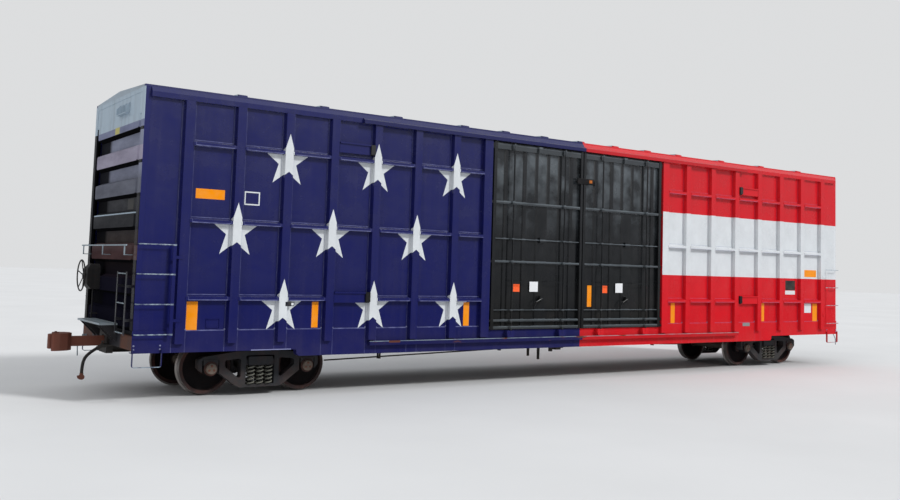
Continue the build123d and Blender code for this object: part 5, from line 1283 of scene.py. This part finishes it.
class BOXCAR_OT_plates(bpy.types.Operator):
    """Reflective strips and blank plates on the sides and doors"""

    bl_idname = "boxcar.plates"
    bl_label = "Strips and plates"

    # lowest and highest x, lowest and highest height above the rail head
    amber_strips = (
        (-8.586, -8.367, 1.142, 1.604), (-6.316, -6.192, 1.156, 1.609), (-3.048, -2.910, 1.149, 1.616),
        (2.857, 2.991, 1.142, 1.616), (6.159, 6.295, 1.155, 1.617), (8.333, 8.529, 1.135, 1.601),
        (-8.497, -8.001, 3.287, 3.450), (7.974, 8.491, 2.303, 2.486),
    )
    door_strips = ((0.229, 0.373, 1.517, 1.977),)
    door_squares = ((-1.815, -1.645, 1.824, 1.978), (0.680, 0.825, 1.818, 1.978))
    door_cards = ((-1.405, -1.180, 1.828, 2.035), (1.050, 1.270, 1.828, 2.035))
    white_plates = ((7.155, 7.570, 1.836, 1.936), (7.964, 8.267, 1.361, 1.611))
    black_plates = ((7.165, 7.570, 1.946, 2.195),)
    grey_plates = ((5.438, 5.714, 1.044, 1.125),)
    dark_tag = ((-6.858, -6.693, 1.532, 1.606),)
    tag_dot = ((-6.751, -6.706, 1.546, 1.590),)
    bare_edge = ((-7.420, -6.690, 0.786, 0.802),)
    latch_bracket = ((-0.181, 0.288, 4.147, 4.278),)
    latch_spot = ((0.150, 0.235, 4.185, 4.250),)
    door_gaskets = ((-0.0135, 0.0135, 1.070, 4.850), (-2.4765, -2.4695, 1.070, 4.850),
                    (2.4695, 2.4765, 1.070, 4.850), (-2.4765, 2.4765, 4.8495, 4.8685))
    # the same for the outer edge of an outline, and the width of its strips
    outlined_square = frame_strips(-7.654, -7.378, 3.229, 3.460, 0.022)
    card_holder = frame_strips(-8.226, -7.984, 1.166, 1.323, 0.020)
    # lowest and highest y and height, how far the surface lies inside the body's end, and the paint's setting
    end_plates = (
        ("end_yellow", (-0.14, 0.13, 4.392, 4.505), 0.0, "yellow"),
        ("end_square", (-0.87, -0.53, 3.080, 3.255), 0.098, "rubber"),
    )

    def execute(self, context):
        thickness = context.scene.boxcar_pieces.strip_thickness
        paint = context.scene.boxcar_paint
        for name, surface_y, colour in (
                ("amber_strips", SHEET_Y, paint.amber), ("door_strips", DOOR_FACE_Y, paint.amber),
                ("door_squares", DOOR_FACE_Y, SQUARE_ORANGE), ("door_cards", CARD_Y, CARD_WHITE),
                ("white_plates", SHEET_Y, paint.white), ("black_plates", SHEET_Y, PLATE_BLACK),
                ("grey_plates", SILL_FACE_Y, PLATE_GREY)):
            add_plates(name, getattr(self, name), surface_y + PLATE_GAP, thickness,
                       strip_material(name, colour))
        for name, (y0, y1, z0, z1), inside, colour in self.end_plates:
            end_x = HALF_LENGTH - inside + PLATE_GAP
            points, faces = on_end(*plate(y0, y1, RAIL + z0, RAIL + z1, end_x, thickness, -1))
            add_mesh(name, points, faces, strip_material(name, getattr(paint, colour)), "car_body",
                     "end_paint")
        for name, surface_y, depth, finish in (
                ("outlined_square", SHEET_Y, thickness, strip_material("outline_white", paint.white)),
                ("card_holder", SHEET_Y, HOLDER_DEPTH, livery_material("holder_paint", paint)),
                ("dark_tag", POST_Y, thickness, strip_material("tag_black", TAG_BLACK)),
                ("tag_dot", POST_Y + 2 * thickness, thickness, strip_material("tag_white", paint.white)),
                ("bare_edge", SILL_FACE_Y, thickness, strip_material("bare_steel", paint.edge))):
            add_plates(name, getattr(self, name), surface_y + PLATE_GAP, depth, finish)
        latch_black = plain_paint("latch_black", paint, BLACK, TRIM_DUST, roughness=0.4)
        rubber = plain_paint("gasket_rubber", paint, paint.rubber, TRIM_DUST, roughness=0.6)
        add_plates("latch_bracket", self.latch_bracket, LATCH_Y, LATCH_DEPTH, latch_black, "door_black")
        add_plates("latch_spot", self.latch_spot, LATCH_Y + LATCH_DEPTH, thickness,
                   strip_material("latch_orange", LATCH_ORANGE), "door_black")
        add_plates("door_gaskets", self.door_gaskets, GASKET_Y, GASKET_DEPTH, rubber, "hose_rubber",
                   bevel=0.0)
        return {"FINISHED"}


class BOXCAR_OT_bolts(bpy.types.Operator):
    """Bolt heads on the bearing caps, sills and steps"""

    bl_idname = "boxcar.bolts"
    bl_label = "Bolts"

    def execute(self, context):
        paint = context.scene.boxcar_paint
        radius = context.scene.boxcar_pieces.bolt_radius
        rusty = cast_material("cap_bolts", paint, paint.rust, rust_share=0.5, dust_share=0.3)
        pale = plain_paint("bolt_paint", paint, BOLT_BLUE, BOLT_DUST, roughness=0.4)
        turns = np.radians(CAP_BOLT_TURNS)
        for label in WHEELSETS:
            node = "wheelset_" + label
            low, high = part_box(node)
            for (side, side_label), face in zip(SIDES, (low.y, high.y)):
                places = np.column_stack([(low.x + high.x) / 2 + CAP_BOLT_CIRCLE * np.cos(turns),
                                          np.full(len(turns), face - side * BOLT_GAP),
                                          AXLE_Z + CAP_BOLT_CIRCLE * np.sin(turns)])
                add_bolts("cap_bolts_%s_%s" % (label, side_label), places, (0, side, 0), CAP_BOLT_RADIUS,
                          CAP_BOLT_RISE, rusty, node, "wheel_steel")
        posts = [end * (FIRST_POST + POST_PITCH * k) for end, _ in ENDS for k in range(POST_COUNT)]
        for side, side_label in SIDES:
            seam = [(x + offset, side * (SHEET_Y + BOLT_GAP), RAIL + SEAM_BOLT_HEIGHT)
                    for x in posts for offset in SEAM_BOLT_OFFSETS]
            steps = [(end * (HALF_LENGTH - inset), side * SILL_FACE_Y, RAIL + height)
                     for end, _ in ENDS for inset in STEP_BOLT_INSETS for height in STEP_BOLT_HEIGHTS]
            add_bolts("sill_bolts_" + side_label, seam + steps, (0, side, 0), radius, radius * BOLT_RISE,
                      pale, "car_body", "body_blue")
        return {"FINISHED"}


class BOXCAR_PT_panel(bpy.types.Panel):
    """Lists the boxcar's operators and settings"""

    bl_idname = "BOXCAR_PT_panel"
    bl_label = "Boxcar"
    bl_space_type = "VIEW_3D"
    bl_region_type = "UI"
    bl_category = "Boxcar"

    def draw(self, context):
        for operator in OPERATORS:
            self.layout.operator(operator.bl_idname)
        for settings in (context.scene.boxcar_stage, context.scene.boxcar_paint, context.scene.boxcar_pieces):
            box = self.layout.box()
            for name in settings.__annotations__:
                box.prop(settings, name)


OPERATORS = (BOXCAR_OT_studio, BOXCAR_OT_air_hoses, BOXCAR_OT_body_paint, BOXCAR_OT_running_gear,
             BOXCAR_OT_springs, BOXCAR_OT_plates, BOXCAR_OT_bolts)
SETTINGS = (("boxcar_paint", BoxcarPaint), ("boxcar_pieces", BoxcarPieces), ("boxcar_stage", BoxcarStage))


def register():
    for name, group in SETTINGS:
        bpy.utils.register_class(group)
        setattr(bpy.types.Scene, name, bpy.props.PointerProperty(type=group))
    for operator in OPERATORS:
        bpy.utils.register_class(operator)
    bpy.utils.register_class(BOXCAR_PT_panel)


def unregister():
    bpy.utils.unregister_class(BOXCAR_PT_panel)
    for operator in reversed(OPERATORS):
        bpy.utils.unregister_class(operator)
    for name, group in reversed(SETTINGS):
        delattr(bpy.types.Scene, name)
        bpy.utils.unregister_class(group)


def main():
    register()
    for operator in OPERATORS:
        area, name = operator.bl_idname.split(".")
        getattr(getattr(bpy.ops, area), name)()


if __name__ == "__main__":
    main()
